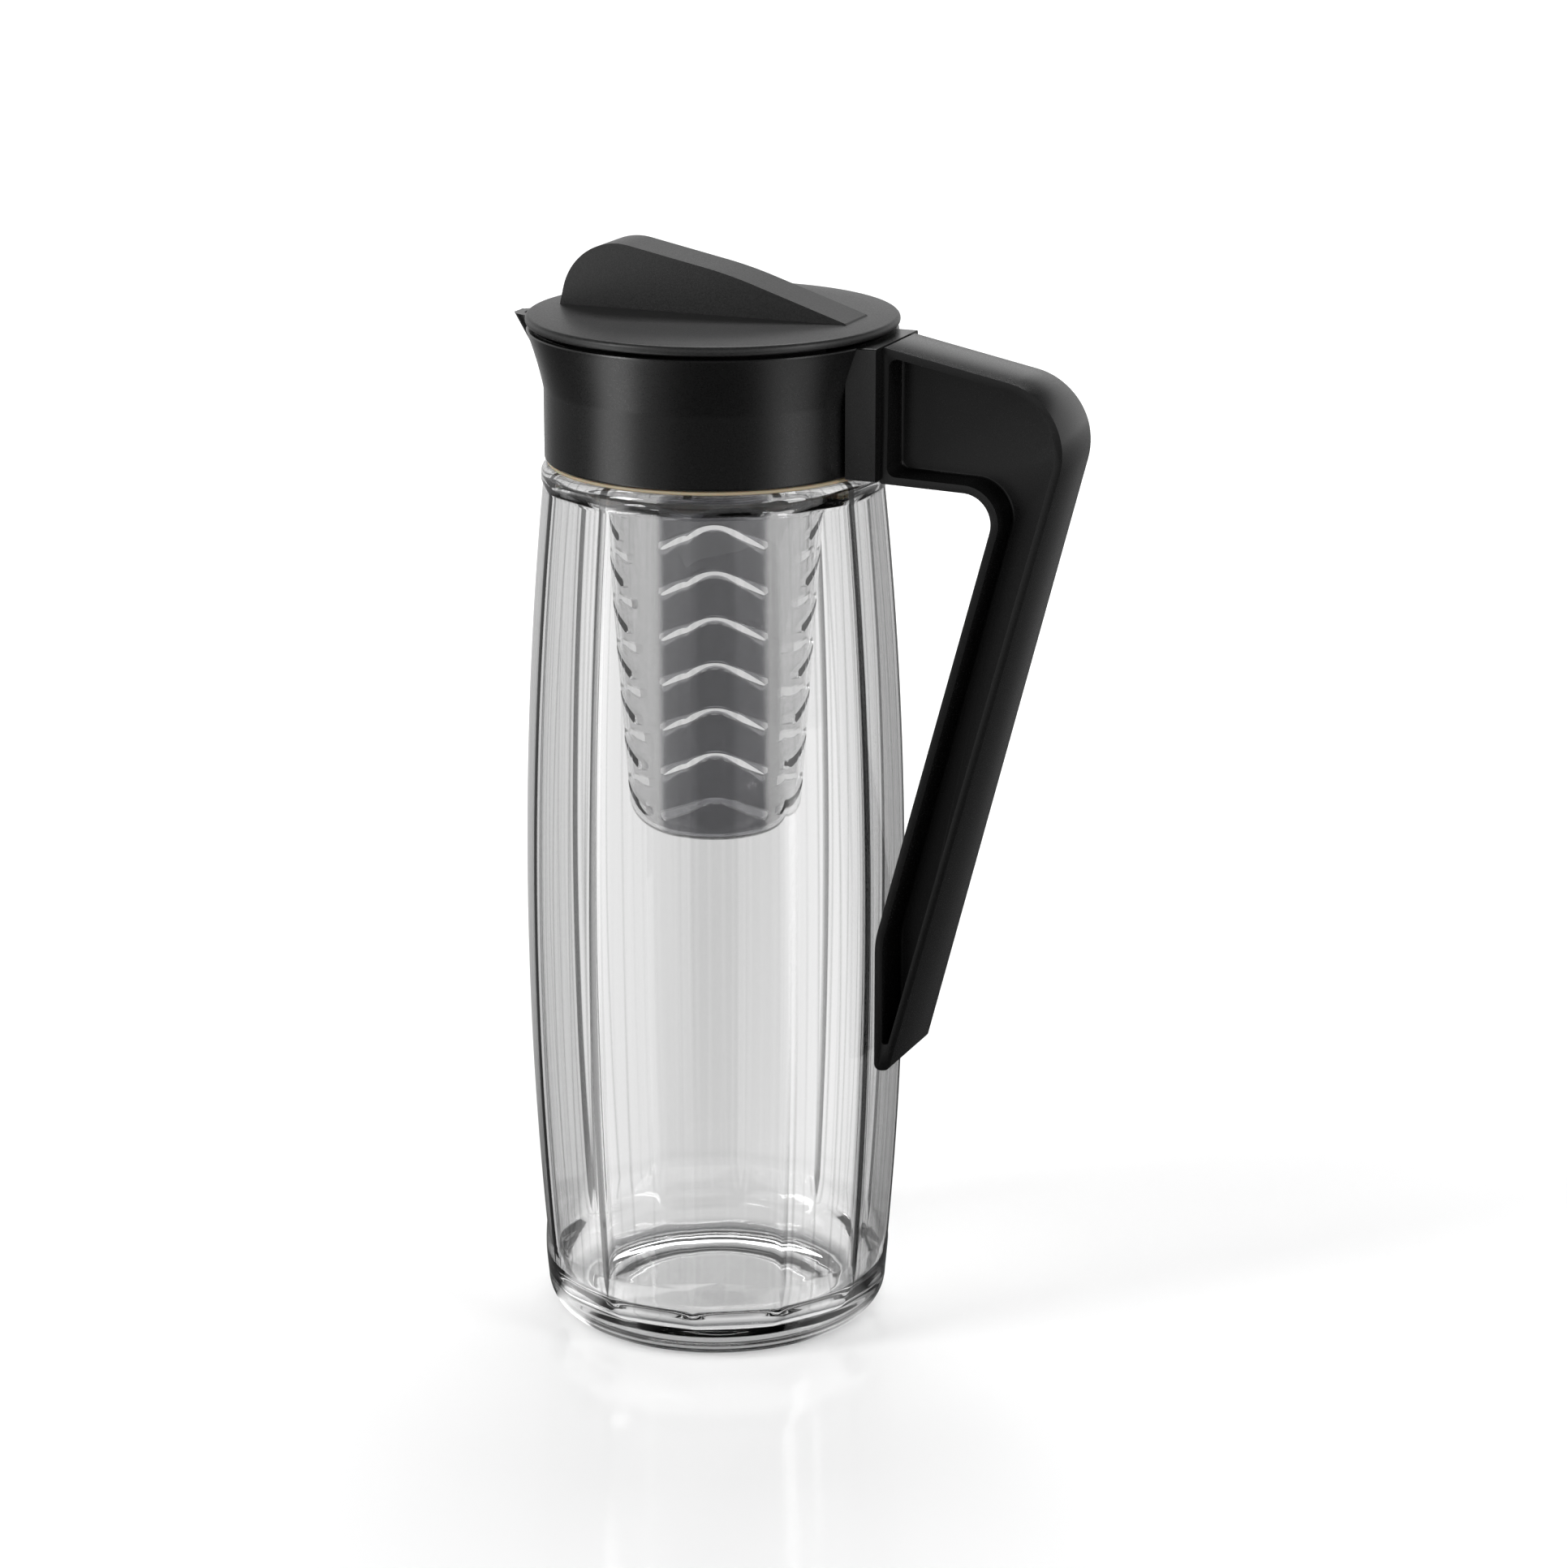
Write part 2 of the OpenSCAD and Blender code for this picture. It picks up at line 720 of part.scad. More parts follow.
module infuser_basket() {
    corner = [basket_at(basket_bottom) - basket_round, basket_bottom + basket_round];
    color([0.35, 0.35, 0.36, 0.6])
        difference() {
            rotate_extrude()
                polygon(concat(
                    [[0, basket_bottom]],
                    arc(corner, basket_round, -90, 0, corner_steps),
                    [[basket_top_r, basket_top], [basket_top_r - basket_wall, basket_top]],
                    arc(corner, basket_round - basket_wall, 0, -90, corner_steps),
                    [[0, basket_bottom + basket_wall]]));
            for (column = [0 : slot_columns - 1], row = [0 : slot_rows - 1])
                rotate([0, 0, slot_phase + column * 360 / slot_columns])
                    translate([0, 0, basket_bottom + slot_rise_z + row * slot_pitch])
                        rotate([90, 0, 90])
                            linear_extrude(basket_top_r + past) chevron();
        }
}

jug_body();
neck_gasket();
collar();
handle();
handle_screws();
lid_cover();
lid_plug();
lid_gasket();
lid_retainer();
infuser_basket();
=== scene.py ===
"""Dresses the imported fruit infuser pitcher: clear fluted jug, black collar and handle, lid and basket."""

import logging
import math
from collections.abc import Callable, Iterable, Sequence
from dataclasses import dataclass

import bpy
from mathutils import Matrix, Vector


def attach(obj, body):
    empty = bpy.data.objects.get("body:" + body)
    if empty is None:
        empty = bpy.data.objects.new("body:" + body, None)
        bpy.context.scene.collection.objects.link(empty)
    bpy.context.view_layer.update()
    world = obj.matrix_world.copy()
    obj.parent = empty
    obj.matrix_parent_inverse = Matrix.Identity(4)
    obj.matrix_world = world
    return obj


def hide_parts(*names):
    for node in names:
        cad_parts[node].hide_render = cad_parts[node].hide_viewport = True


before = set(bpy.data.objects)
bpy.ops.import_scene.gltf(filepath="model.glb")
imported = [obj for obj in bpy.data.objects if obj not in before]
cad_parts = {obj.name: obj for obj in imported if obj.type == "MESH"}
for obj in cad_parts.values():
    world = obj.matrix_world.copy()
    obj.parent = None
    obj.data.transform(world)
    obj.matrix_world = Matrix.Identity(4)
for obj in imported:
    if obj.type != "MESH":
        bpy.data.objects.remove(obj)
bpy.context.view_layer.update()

Object = bpy.types.Object
Material = bpy.types.Material
Socket = bpy.types.NodeSocket
Tree = bpy.types.NodeTree
Point = tuple[float, float]
Stops = tuple[tuple[float, str], ...]
EdgeTest = Callable[[Vector, float], bool]

LOG = logging.getLogger("pitcher")
MM = 0.001
MERGE = 1e-6
FULL_TURN = 2.0 * math.pi
# Angle in degrees from which the edge between two faces counts as sharp
SHARP = 60.0
# A length in millimetres that is too short to see
HAIR = 0.01


# ---- Outlines ----


def arc(centre: Point, radius: float, start: float, end: float, steps: int) -> list[Point]:
    """Points of an arc in a plane.

    Args:
        centre: middle of the arc.
        radius: its radius.
        start: first angle in degrees.
        end: last angle in degrees.
        steps: number of chords.

    Returns:
        The points from the first angle to the last.
    """
    angles = [math.radians(start + (end - start) * i / steps) for i in range(steps + 1)]
    return [(centre[0] + radius * math.cos(a), centre[1] + radius * math.sin(a)) for a in angles]


def round_corner(before: Point, corner: Point, after: Point, radius: float, steps: int) -> list[Point]:
    """One corner of an outline, rounded.

    Args:
        before: the corner before it.
        corner: the sharp corner.
        after: the corner after it.
        radius: radius of the rounding.
        steps: number of chords.

    Returns:
        The points of the rounding, from the side of the corner before.
    """
    here = Vector(corner)
    u = (Vector(before) - here).normalized()
    v = (Vector(after) - here).normalized()
    half = u.angle(v) / 2.0
    centre = here + (u + v).normalized() * radius / math.sin(half)
    first = here + u * radius / math.tan(half) - centre
    turn = math.copysign(math.pi - 2.0 * half, v.x * u.y - v.y * u.x)
    start = math.atan2(first.y, first.x)
    return arc(tuple(centre), radius, math.degrees(start), math.degrees(start + turn), steps)


def round_outline(corners: Sequence[Point], radii: Sequence[float], steps: int) -> list[Point]:
    """A closed outline with each corner rounded by its own radius.

    Args:
        corners: the sharp corners in order.
        radii: a radius for each corner.
        steps: number of chords in each rounding.

    Returns:
        The rounded outline.
    """
    count = len(corners)
    points: list[Point] = []
    for i, corner in enumerate(corners):
        points += round_corner(corners[i - 1], corner, corners[(i + 1) % count], radii[i], steps)
    return points


def inset_outline(corners: Sequence[Point], shifts: Sequence[float]) -> list[Point]:
    """A closed outline with each edge moved to its left by its own distance.

    Args:
        corners: the corners in order.
        shifts: a distance for the edge that starts at each corner.

    Returns:
        The corners of the moved outline.
    """
    count = len(corners)
    moved: list[Point] = []
    for i in range(count):
        a, b, c = (Vector(corners[j % count]) for j in (i - 1, i, i + 1))
        d, e = (b - a).normalized(), (c - b).normalized()
        p = b + shifts[i - 1] * Vector((-d.y, d.x))
        q = b + shifts[i] * Vector((-e.y, e.x))
        gap = q - p
        reach = (gap.x * e.y - gap.y * e.x) / (d.x * e.y - d.y * e.x)
        moved.append(tuple(p + d * reach))
    return moved


# ---- Modelling, as by hand ----


def deselect() -> None:
    """Leave nothing selected in object mode."""
    bpy.ops.object.select_all(action="DESELECT")


def activate(piece: Object) -> Object:
    """Select one object alone and make it the active one."""
    deselect()
    piece.select_set(True)
    bpy.context.view_layer.objects.active = piece
    return piece


def named(name: str) -> Object:
    """Give the active object and its mesh one name."""
    piece = bpy.context.object
    piece.name = piece.data.name = name
    return piece


def loop(name: str, points: Sequence[Sequence[float]]) -> Object:
    """A closed loop of edges: a circle primitive whose vertices are moved to their places.

    Args:
        name: name of the new object.
        points: places in millimetres, in order round the loop.

    Returns:
        The new object.
    """
    deselect()
    bpy.ops.mesh.primitive_circle_add(vertices=len(points), radius=1.0, fill_type="NOTHING")
    piece = named(name)
    for vertex, point in zip(piece.data.vertices, points):
        vertex.co = Vector(point) * MM
    return piece


def edit_all(piece: Object) -> None:
    """Go into edit mode with the whole mesh selected."""
    activate(piece)
    bpy.ops.object.mode_set(mode="EDIT")
    bpy.ops.mesh.select_all(action="SELECT")


def pick_edges(piece: Object, test: EdgeTest) -> None:
    """Go into edit mode with only the edges that pass a test selected.

    Args:
        piece: the object to work on.
        test: gets an edge's middle in millimetres and the angle between its faces in degrees.
    """
    activate(piece)
    mesh = piece.data
    for group in (mesh.vertices, mesh.edges, mesh.polygons):
        group.foreach_set("select", [False] * len(group))
    sides: dict[tuple[int, int], list[Vector]] = {}
    for face in mesh.polygons:
        for key in face.edge_keys:
            sides.setdefault(key, []).append(face.normal)
    for edge in mesh.edges:
        a, b = (mesh.vertices[i].co / MM for i in edge.vertices)
        normals = sides.get(edge.key, [])
        turn = math.degrees(normals[0].angle(normals[1], 0.0)) if len(normals) == 2 else 180.0
        edge.select = test((a + b) / 2.0, turn)
    bpy.context.tool_settings.mesh_select_mode = (False, True, False)
    bpy.ops.object.mode_set(mode="EDIT")


def done() -> None:
    """Go back to object mode."""
    bpy.ops.object.mode_set(mode="OBJECT")


def face_outwards() -> None:
    """In edit mode, turn all faces outwards and go back to object mode."""
    bpy.ops.mesh.select_all(action="SELECT")
    bpy.ops.mesh.normals_make_consistent(inside=False)
    done()


def clean(piece: Object) -> Object:
    """Merge doubled vertices, drop loose ones and turn all faces outwards."""
    edit_all(piece)
    bpy.ops.mesh.remove_doubles(threshold=MERGE)
    bpy.ops.mesh.delete_loose(use_verts=True, use_edges=True, use_faces=False)
    face_outwards()
    return piece


def turned(name: str, profile: Sequence[Point], steps: int) -> Object:
    """A shape turned round the Z axis.

    Args:
        name: name of the new object.
        profile: closed outline as radius and height in millimetres.
        steps: number of steps round the axis.

    Returns:
        The new closed shape.
    """
    piece = loop(name, [(r, 0.0, z) for r, z in profile])
    edit_all(piece)
    bpy.ops.mesh.spin(steps=steps, angle=FULL_TURN, center=(0, 0, 0), axis=(0, 0, 1))
    done()
    return clean(piece)


def pulled(piece: Object, shift: Vector) -> Object:
    """Fill a loop of edges and extrude it by a shift in metres into a closed bar."""
    edit_all(piece)
    bpy.ops.mesh.edge_face_add()
    bpy.ops.mesh.extrude_region_move(TRANSFORM_OT_translate={"value": tuple(shift)})
    face_outwards()
    return piece


def slab(name: str, outline: Sequence[Point], low: float, high: float) -> Object:
    """A side outline in the XZ plane, filled and extruded along Y.

    Args:
        name: name of the new object.
        outline: closed outline as X and Z in millimetres.
        low: Y of the first face.
        high: Y of the last face.

    Returns:
        The new closed shape.
    """
    piece = loop(name, [(x, low, z) for x, z in outline])
    return clean(pulled(piece, Vector((0.0, (high - low) * MM, 0.0))))


def cut_level(piece: Object, z: float, keep_above: bool) -> Object:
    """Cut a closed piece off at a height in millimetres and close it again."""
    edit_all(piece)
    bpy.ops.mesh.bisect(plane_co=(0, 0, z * MM), plane_no=(0, 0, 1), clear_inner=keep_above,
                        clear_outer=not keep_above, use_fill=True)
    done()
    return piece


def modify(piece: Object, kind: str, **settings: object) -> Object:
    """Add a modifier with its settings and apply it."""
    activate(piece)
    made = piece.modifiers.new(kind.lower(), kind)
    for key, value in settings.items():
        setattr(made, key, value)
    bpy.ops.object.modifier_apply(modifier=made.name)
    return piece


def combine(piece: Object, tool: Object, operation: str) -> Object:
    """Join or cut one solid with another, which is then removed."""
    modify(piece, "BOOLEAN", object=tool, operation=operation, solver="EXACT")
    bpy.data.objects.remove(tool)
    return piece


def bevel(piece: Object, width: float, segments: int, test: EdgeTest) -> Object:
    """Round the edges that pass a test.

    Args:
        piece: the object to work on.
        width: width of the rounding in millimetres.
        segments: number of faces across it.
        test: as for picking edges.

    Returns:
        The same object.
    """
    pick_edges(piece, test)
    bpy.ops.mesh.bevel(offset=width * MM, segments=segments, profile=0.5, clamp_overlap=True)
    done()
    return piece


def smooth(piece: Object, angle: float = 35.0) -> Object:
    """Shade a piece smooth, apart from edges sharper than an angle in degrees."""
    activate(piece)
    bpy.ops.object.shade_smooth_by_angle(angle=math.radians(angle))
    return piece


def mount(piece: Object, body: str, finish: Material, nodes: Iterable[str] = ()) -> Object:
    """Dress a finished piece and let it ride on its body.

    Args:
        piece: the finished piece.
        body: name of the body that carries it.
        finish: its material.
        nodes: CAD nodes that it stands for.

    Returns:
        The same piece.
    """
    piece.data.materials.clear()
    piece.data.materials.append(finish)
    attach(piece, body)
    if nodes:
        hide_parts(*nodes)
    return piece


# ---- Finishes ----


def linear(colour: str) -> tuple[float, float, float, float]:
    """An sRGB hex colour as the linear colour that shaders take."""
    parts = [int(colour[i:i + 2], 16) / 255.0 for i in (1, 3, 5)]
    red, green, blue = (c / 12.92 if c <= 0.04045 else ((c + 0.055) / 1.055) ** 2.4 for c in parts)
    return red, green, blue, 1.0


def add(tree: Tree, kind: str, inputs: dict | None = None, **settings: object) -> bpy.types.Node:
    """Add a node with its settings, values and links.

    Args:
        tree: the node tree.
        kind: type of the shader node, such as Bump.
        inputs: a value or another node's output for each input.
        settings: properties of the node.

    Returns:
        The new node.
    """
    made = tree.nodes.new("ShaderNode" + kind)
    for key, value in settings.items():
        setattr(made, key, value)
    for key, value in (inputs or {}).items():
        if isinstance(value, Socket):
            tree.links.new(value, made.inputs[key])
        else:
            made.inputs[key].default_value = value
    return made


def ramp(tree: Tree, value: Socket, stops: Stops) -> Socket:
    """A colour that changes along a value.

    Args:
        tree: the node tree.
        value: the output that drives the colour.
        stops: places along the value and their colours.

    Returns:
        The colour.
    """
    node = add(tree, "ValToRGB", {"Fac": value})
    marks = node.color_ramp.elements
    for number, (place, colour) in enumerate(stops):
        mark = marks[number] if number < 2 else marks.new(place)
        mark.position, mark.color = place, linear(colour)
    return node.outputs["Color"]


def blend(tree: Tree, share: Socket, first: object, second: object) -> Socket:
    """The mix of two colours by a share from 0 to 1."""
    return add(tree, "Mix", {"Factor": share, 6: first, 7: second}, data_type="RGBA").outputs[2]


def calc(tree: Tree, operation: str, *values: object) -> Socket:
    """The result of one sum on numbers and other nodes' outputs."""
    return add(tree, "Math", dict(enumerate(values)), operation=operation).outputs[0]


def span(tree: Tree, value: Socket, low: float, high: float, start: float = 0.0,
         end: float = 1.0) -> Socket:
    """A value's run from start to end, laid over the run from low to high."""
    made = add(tree, "MapRange", {
        "Value": value, "From Min": start, "From Max": end, "To Min": low, "To Max": high})
    return made.outputs["Result"]


def place_on(tree: Tree) -> Socket:
    """The place of a point in its object's own coordinates."""
    return add(tree, "TexCoord").outputs["Object"]


def noise(tree: Tree, size_mm: float, detail: float, roughness: float = 0.5) -> Socket:
    """A cloudy pattern in the piece's own coordinates.

    Args:
        tree: the node tree.
        size_mm: about the size of one cloud in millimetres.
        detail: number of finer layers.
        roughness: how strong the finer layers are.

    Returns:
        The pattern's value.
    """
    pattern = add(tree, "TexNoise", {
        "Vector": place_on(tree), "Scale": 1.0 / (size_mm * MM), "Detail": detail, "Roughness": roughness})
    return pattern.outputs["Fac"]


def relief(tree: Tree, height: Socket, depth_mm: float) -> Socket:
    """The lie of a surface that rises with a pattern by a depth in millimetres."""
    return add(tree, "Bump", {
        "Height": height, "Strength": 1.0, "Distance": depth_mm * MM}).outputs["Normal"]


def about(tree: Tree, value: Socket, middle: float, spread: float, reach: Point = (0.0, 1.0)) -> Socket:
    """A level that strays from its middle by a spread, as a value runs over its reach."""
    return span(tree, value, middle - spread, middle + spread, *reach)


def send_out(tree: Tree, surface: Socket, **more: Socket) -> None:
    """Send the finished surface to the material's output."""
    add(tree, "OutputMaterial", {"Surface": surface, **more})


def new_material(name: str) -> tuple[Material, Tree]:
    """A new material with an empty node tree."""
    material = bpy.data.materials.new(name)
    material.use_nodes = True
    material.node_tree.nodes.clear()
    return material, material.node_tree


@dataclass(frozen=True)
class MouldedBlack:
    """Opaque injection-moulded plastic with a spark-eroded or plain mould surface."""

    name: str
    colour: str
    pale: str
    roughness: float
    spread: float
    grain_mm: float
    grain_depth_mm: float
    specular: float = 0.3
    flow_mm: float = 40.0
    speck_range: Point = (0.35, 0.65)
    gloss_range: Point = (0.3, 0.7)

    def material(self) -> Material:
        """Build the material: a fine mould grain over slow flow clouds."""
        material, tree = new_material(self.name)
        grain = noise(tree, self.grain_mm, 2.0, 0.6)
        speck = span(tree, grain, 0.0, 1.0, *self.speck_range)
        cloud = add(tree, "Mix", {"Factor": 0.5, 2: noise(tree, self.flow_mm, 3.0), 3: speck})
        shader = add(tree, "BsdfPrincipled", {
            "Base Color": blend(tree, cloud.outputs[0], linear(self.colour), linear(self.pale)),
            "Roughness": about(tree, grain, self.roughness, self.spread, self.gloss_range),
            "Normal": relief(tree, grain, self.grain_depth_mm), "IOR": 1.5,
            "Specular IOR Level": self.specular})
        send_out(tree, shader.outputs["BSDF"])
        return material


@dataclass(frozen=True)
class ClearMoulded:
    """See-through moulded plastic whose body absorbs a little light along its length, with painted light
    and shade on its surface.
    """

    name: str
    # Painted light and shade: wall shade as it slants, highlight and dark lines by the ridges, shade at the
    # foot
    painted_wall_shade_stops: Stops
    painted_ridge_light_stops: Stops
    painted_line_stops: Stops
    ior: float
    roughness: float
    depth_colour: str
    density: float
    wave_mm: float
    wave_depth_mm: float
    painted_foot_shade_colour: str
    shadow_colour: str

    def material(self) -> Material:
        """Build the material: glass-like shader, slow mould waves and absorption inside.

        The mesh's ridge attribute says how far a point lies from the nearest ridge line. Painted highlight
        lines follow it where the wall faces the viewer and painted dark lines where it slants away,
        standing in for what thick plastic refracts. Between them the wall gets painted shade as it slants
        away.
        The foot attribute is 1 at the bottom edge, which gets painted shade.
        """
        material, tree = new_material(self.name)
        crest = add(tree, "Attribute", attribute_name="ridge").outputs["Fac"]
        foot = add(tree, "Attribute", attribute_name="foot").outputs["Fac"]
        slant = add(tree, "LayerWeight", {"Blend": 0.5}).outputs["Facing"]
        # Painted highlight and dark lines by the ridges, over painted wall shade that grows with the slant
        colour_and_painted_light = blend(tree, ramp(tree, crest, self.painted_line_stops), ramp(tree, slant, self.painted_wall_shade_stops),
                     ramp(tree, slant, self.painted_ridge_light_stops))
        # Base colour: the painted light and shade, turning to painted shade at the foot
        shader = add(tree, "BsdfPrincipled", {
            "Base Color": blend(tree, foot, colour_and_painted_light, linear(self.painted_foot_shade_colour)), "Roughness": self.roughness,
            "IOR": self.ior, "Transmission Weight": 1.0,
            "Normal": relief(tree, noise(tree, self.wave_mm, 1.0), self.wave_depth_mm)})
        depth = add(tree, "VolumeAbsorption", {
            "Color": linear(self.depth_colour), "Density": self.density})
        light = add(tree, "BsdfTransparent", {"Color": linear(self.shadow_colour)})
        surface = add(tree, "MixShader", {
            0: add(tree, "LightPath").outputs["Is Shadow Ray"], 1: shader.outputs["BSDF"],
            2: light.outputs["BSDF"]})
        send_out(tree, surface.outputs["Shader"], Volume=depth.outputs["Volume"])
        return material


@dataclass(frozen=True)
class SmokeMoulded:
    """Smoke-tinted see-through plastic with painted shade in a panel up its front and its back."""

    name: str
    colour: str
    painted_shade_colour: str
    painted_shade_stripe_colour: str
    ior: float
    roughness: float
    painted_shade_half_mm: float
    turn: float
    wave_depth_mm: float
    painted_stripe_half_mm: float = 5.5
    full_mm: float = 40.0
    edge_mm: float = 0.9
    wave_mm: float = 12.0

    def material(self) -> Material:
        """Build the material: the painted shade panels are where a point lies close to an upright plane."""
        material, tree = new_material(self.name)
        lined_up = add(tree, "Mapping", {
            "Vector": place_on(tree), "Rotation": (0.0, 0.0, math.radians(-self.turn))})
        axes = add(tree, "SeparateXYZ", {"Vector": lined_up.outputs["Vector"]})
        aside = calc(tree, "MULTIPLY", calc(tree, "ABSOLUTE", axes.outputs["Y"]), 1.0 / (self.full_mm * MM))
        edge, stripe = self.edge_mm / self.full_mm, self.painted_stripe_half_mm / self.full_mm
        panel = self.painted_shade_half_mm / self.full_mm
        # Painted shade: darker panels front and back, with a darker painted stripe down their middle
        colour_and_painted_light = ramp(tree, aside, (
            (0.0, self.painted_shade_stripe_colour), (panel + edge, self.colour), (stripe - edge, self.painted_shade_stripe_colour),
            (stripe + edge, self.painted_shade_colour), (panel - edge, self.painted_shade_colour)))
        shader = add(tree, "BsdfPrincipled", {
            "Base Color": colour_and_painted_light, "Coat Weight": 0.5, "Coat Roughness": 0.03, "Roughness": self.roughness,
            "IOR": self.ior, "Transmission Weight": 1.0,
            "Normal": relief(tree, noise(tree, self.wave_mm, 1.0), self.wave_depth_mm)})
        send_out(tree, shader.outputs["BSDF"])
        return material


@dataclass(frozen=True)
class Silicone:
    """Soft moulded silicone rubber, milky and faintly sticky to the eye."""

    name: str
    colour: str
    roughness: float
    spread: float = 0.1
    dust_mm: float = 1.2

    def material(self) -> Material:
        """Build the material: light that goes in and comes out again, with a dull skin."""
        material, tree = new_material(self.name)
        dust = noise(tree, self.dust_mm, 2.0)
        shader = add(tree, "BsdfPrincipled", {
            "Base Color": linear(self.colour), "Roughness": about(tree, dust, self.roughness, self.spread),
            "IOR": 1.41, "Subsurface Weight": 0.4, "Subsurface Scale": 0.002})
        send_out(tree, shader.outputs["BSDF"])
        return material


@dataclass(frozen=True)
class BrightSteel:
    """Stainless steel, pressed or headed and left bright."""

    name: str
    colour: str
    roughness: float
    spread: float = 0.08
    scratch_mm: float = 0.3

    def material(self) -> Material:
        """Build the material: bare metal with fine scratches in its gloss."""
        material, tree = new_material(self.name)
        marks = noise(tree, self.scratch_mm, 3.0)
        shader = add(tree, "BsdfPrincipled", {
            "Base Color": linear(self.colour), "Metallic": 1.0,
            "Roughness": about(tree, marks, self.roughness, self.spread)})
        send_out(tree, shader.outputs["BSDF"])
        return material


# Crystal-clear moulded copolyester: colourless, glossy; painted shade where the wall slants, painted ridge
# lines, painted foot shade
JUG_PLASTIC = ClearMoulded(
    "clear_copolyester_polished",
    painted_wall_shade_stops=(
        (0.0, "#e9e9e9"), (0.05, "#ebebeb"), (0.10, "#ffffff"), (0.32, "#ffffff"), (0.42, "#e9e9e9"),
        (0.62, "#d0d0d0"), (0.80, "#949494"), (0.92, "#606060"), (1.0, "#141414")),
    painted_ridge_light_stops=(
        (0.0, "#f3f3f3"), (0.10, "#fbfbfb"), (0.15, "#fbfbfb"), (0.22, "#585858"), (0.30, "#2a2a2a"),
        (0.5, "#0a0a0a"), (1.0, "#060606")),
    painted_line_stops=(
        (0.0, "#ffffff"), (0.07, "#ffffff"), (0.10, "#000000"), (0.14, "#000000"), (0.20, "#c0c0c0"),
        (0.25, "#000000"), (0.39, "#000000"), (0.44, "#808080"), (0.49, "#000000"), (0.67, "#000000"),
        (0.72, "#b8b8b8"), (0.76, "#000000"), (0.94, "#000000"), (1.0, "#808080")),
    ior=1.54, roughness=0.01, depth_colour="#bebebe", density=16.0, wave_mm=30.0, wave_depth_mm=0.02,
    painted_foot_shade_colour="#2c2e30", shadow_colour="#e4e4e4")
# Smoke-tinted copolyester: the same gloss over a grey body, with painted shade and a darker painted stripe
# in two slotted panels
BASKET_PLASTIC = SmokeMoulded(
    "smoke_copolyester_polished", "#dedede", "#98989b", "#848488", ior=1.12, roughness=0.02,
    painted_shade_half_mm=14.0, turn=-66.3, wave_depth_mm=0.02)
# Black polypropylene from a fine-grained mould: satin, soft broad reflections
COLLAR_PLASTIC = MouldedBlack(
    "black_polypropylene_satin", "#0a0a0a", "#0f0f0f", roughness=0.30, spread=0.04, grain_mm=0.5,
    grain_depth_mm=0.006)
# The same plastic in the handle, with a weaker and tighter gloss
HANDLE_PLASTIC = MouldedBlack(
    "black_polypropylene_handle", "#0b0b0b", "#101010", roughness=0.24, spread=0.04, grain_mm=0.5,
    grain_depth_mm=0.006, specular=0.22)
# Black polypropylene from an eroded mould: a dense fine grain that greys the highlights
LID_PLASTIC = MouldedBlack(
    "black_polypropylene_eroded", "#121212", "#262626", roughness=0.42, spread=0.06, grain_mm=0.45,
    grain_depth_mm=0.03)
# Plain black polypropylene of the plug and the shutter under the lid
PLUG_PLASTIC = MouldedBlack(
    "black_polypropylene_plain", "#171717", "#1f1f1f", roughness=0.42, spread=0.04, grain_mm=0.8,
    grain_depth_mm=0.008)
# Translucent silicone with a warm tint, seen as a thin pale line under the collar
CLEAR_SILICONE = Silicone("milky_silicone_gasket", "#9c9078", roughness=0.45)
# White silicone of the plug's ring
WHITE_SILICONE = Silicone("white_silicone_ring", "#e9e9e4", roughness=0.5)
# Screws: headed stainless steel
SCREW_STEEL = BrightSteel("stainless_steel_headed", "#b9b7b2", roughness=0.3)
# Clip ring: pressed stainless strip
CLIP_STEEL = BrightSteel("stainless_steel_pressed", "#c2c1bd", roughness=0.25)


# ---- Jug ----


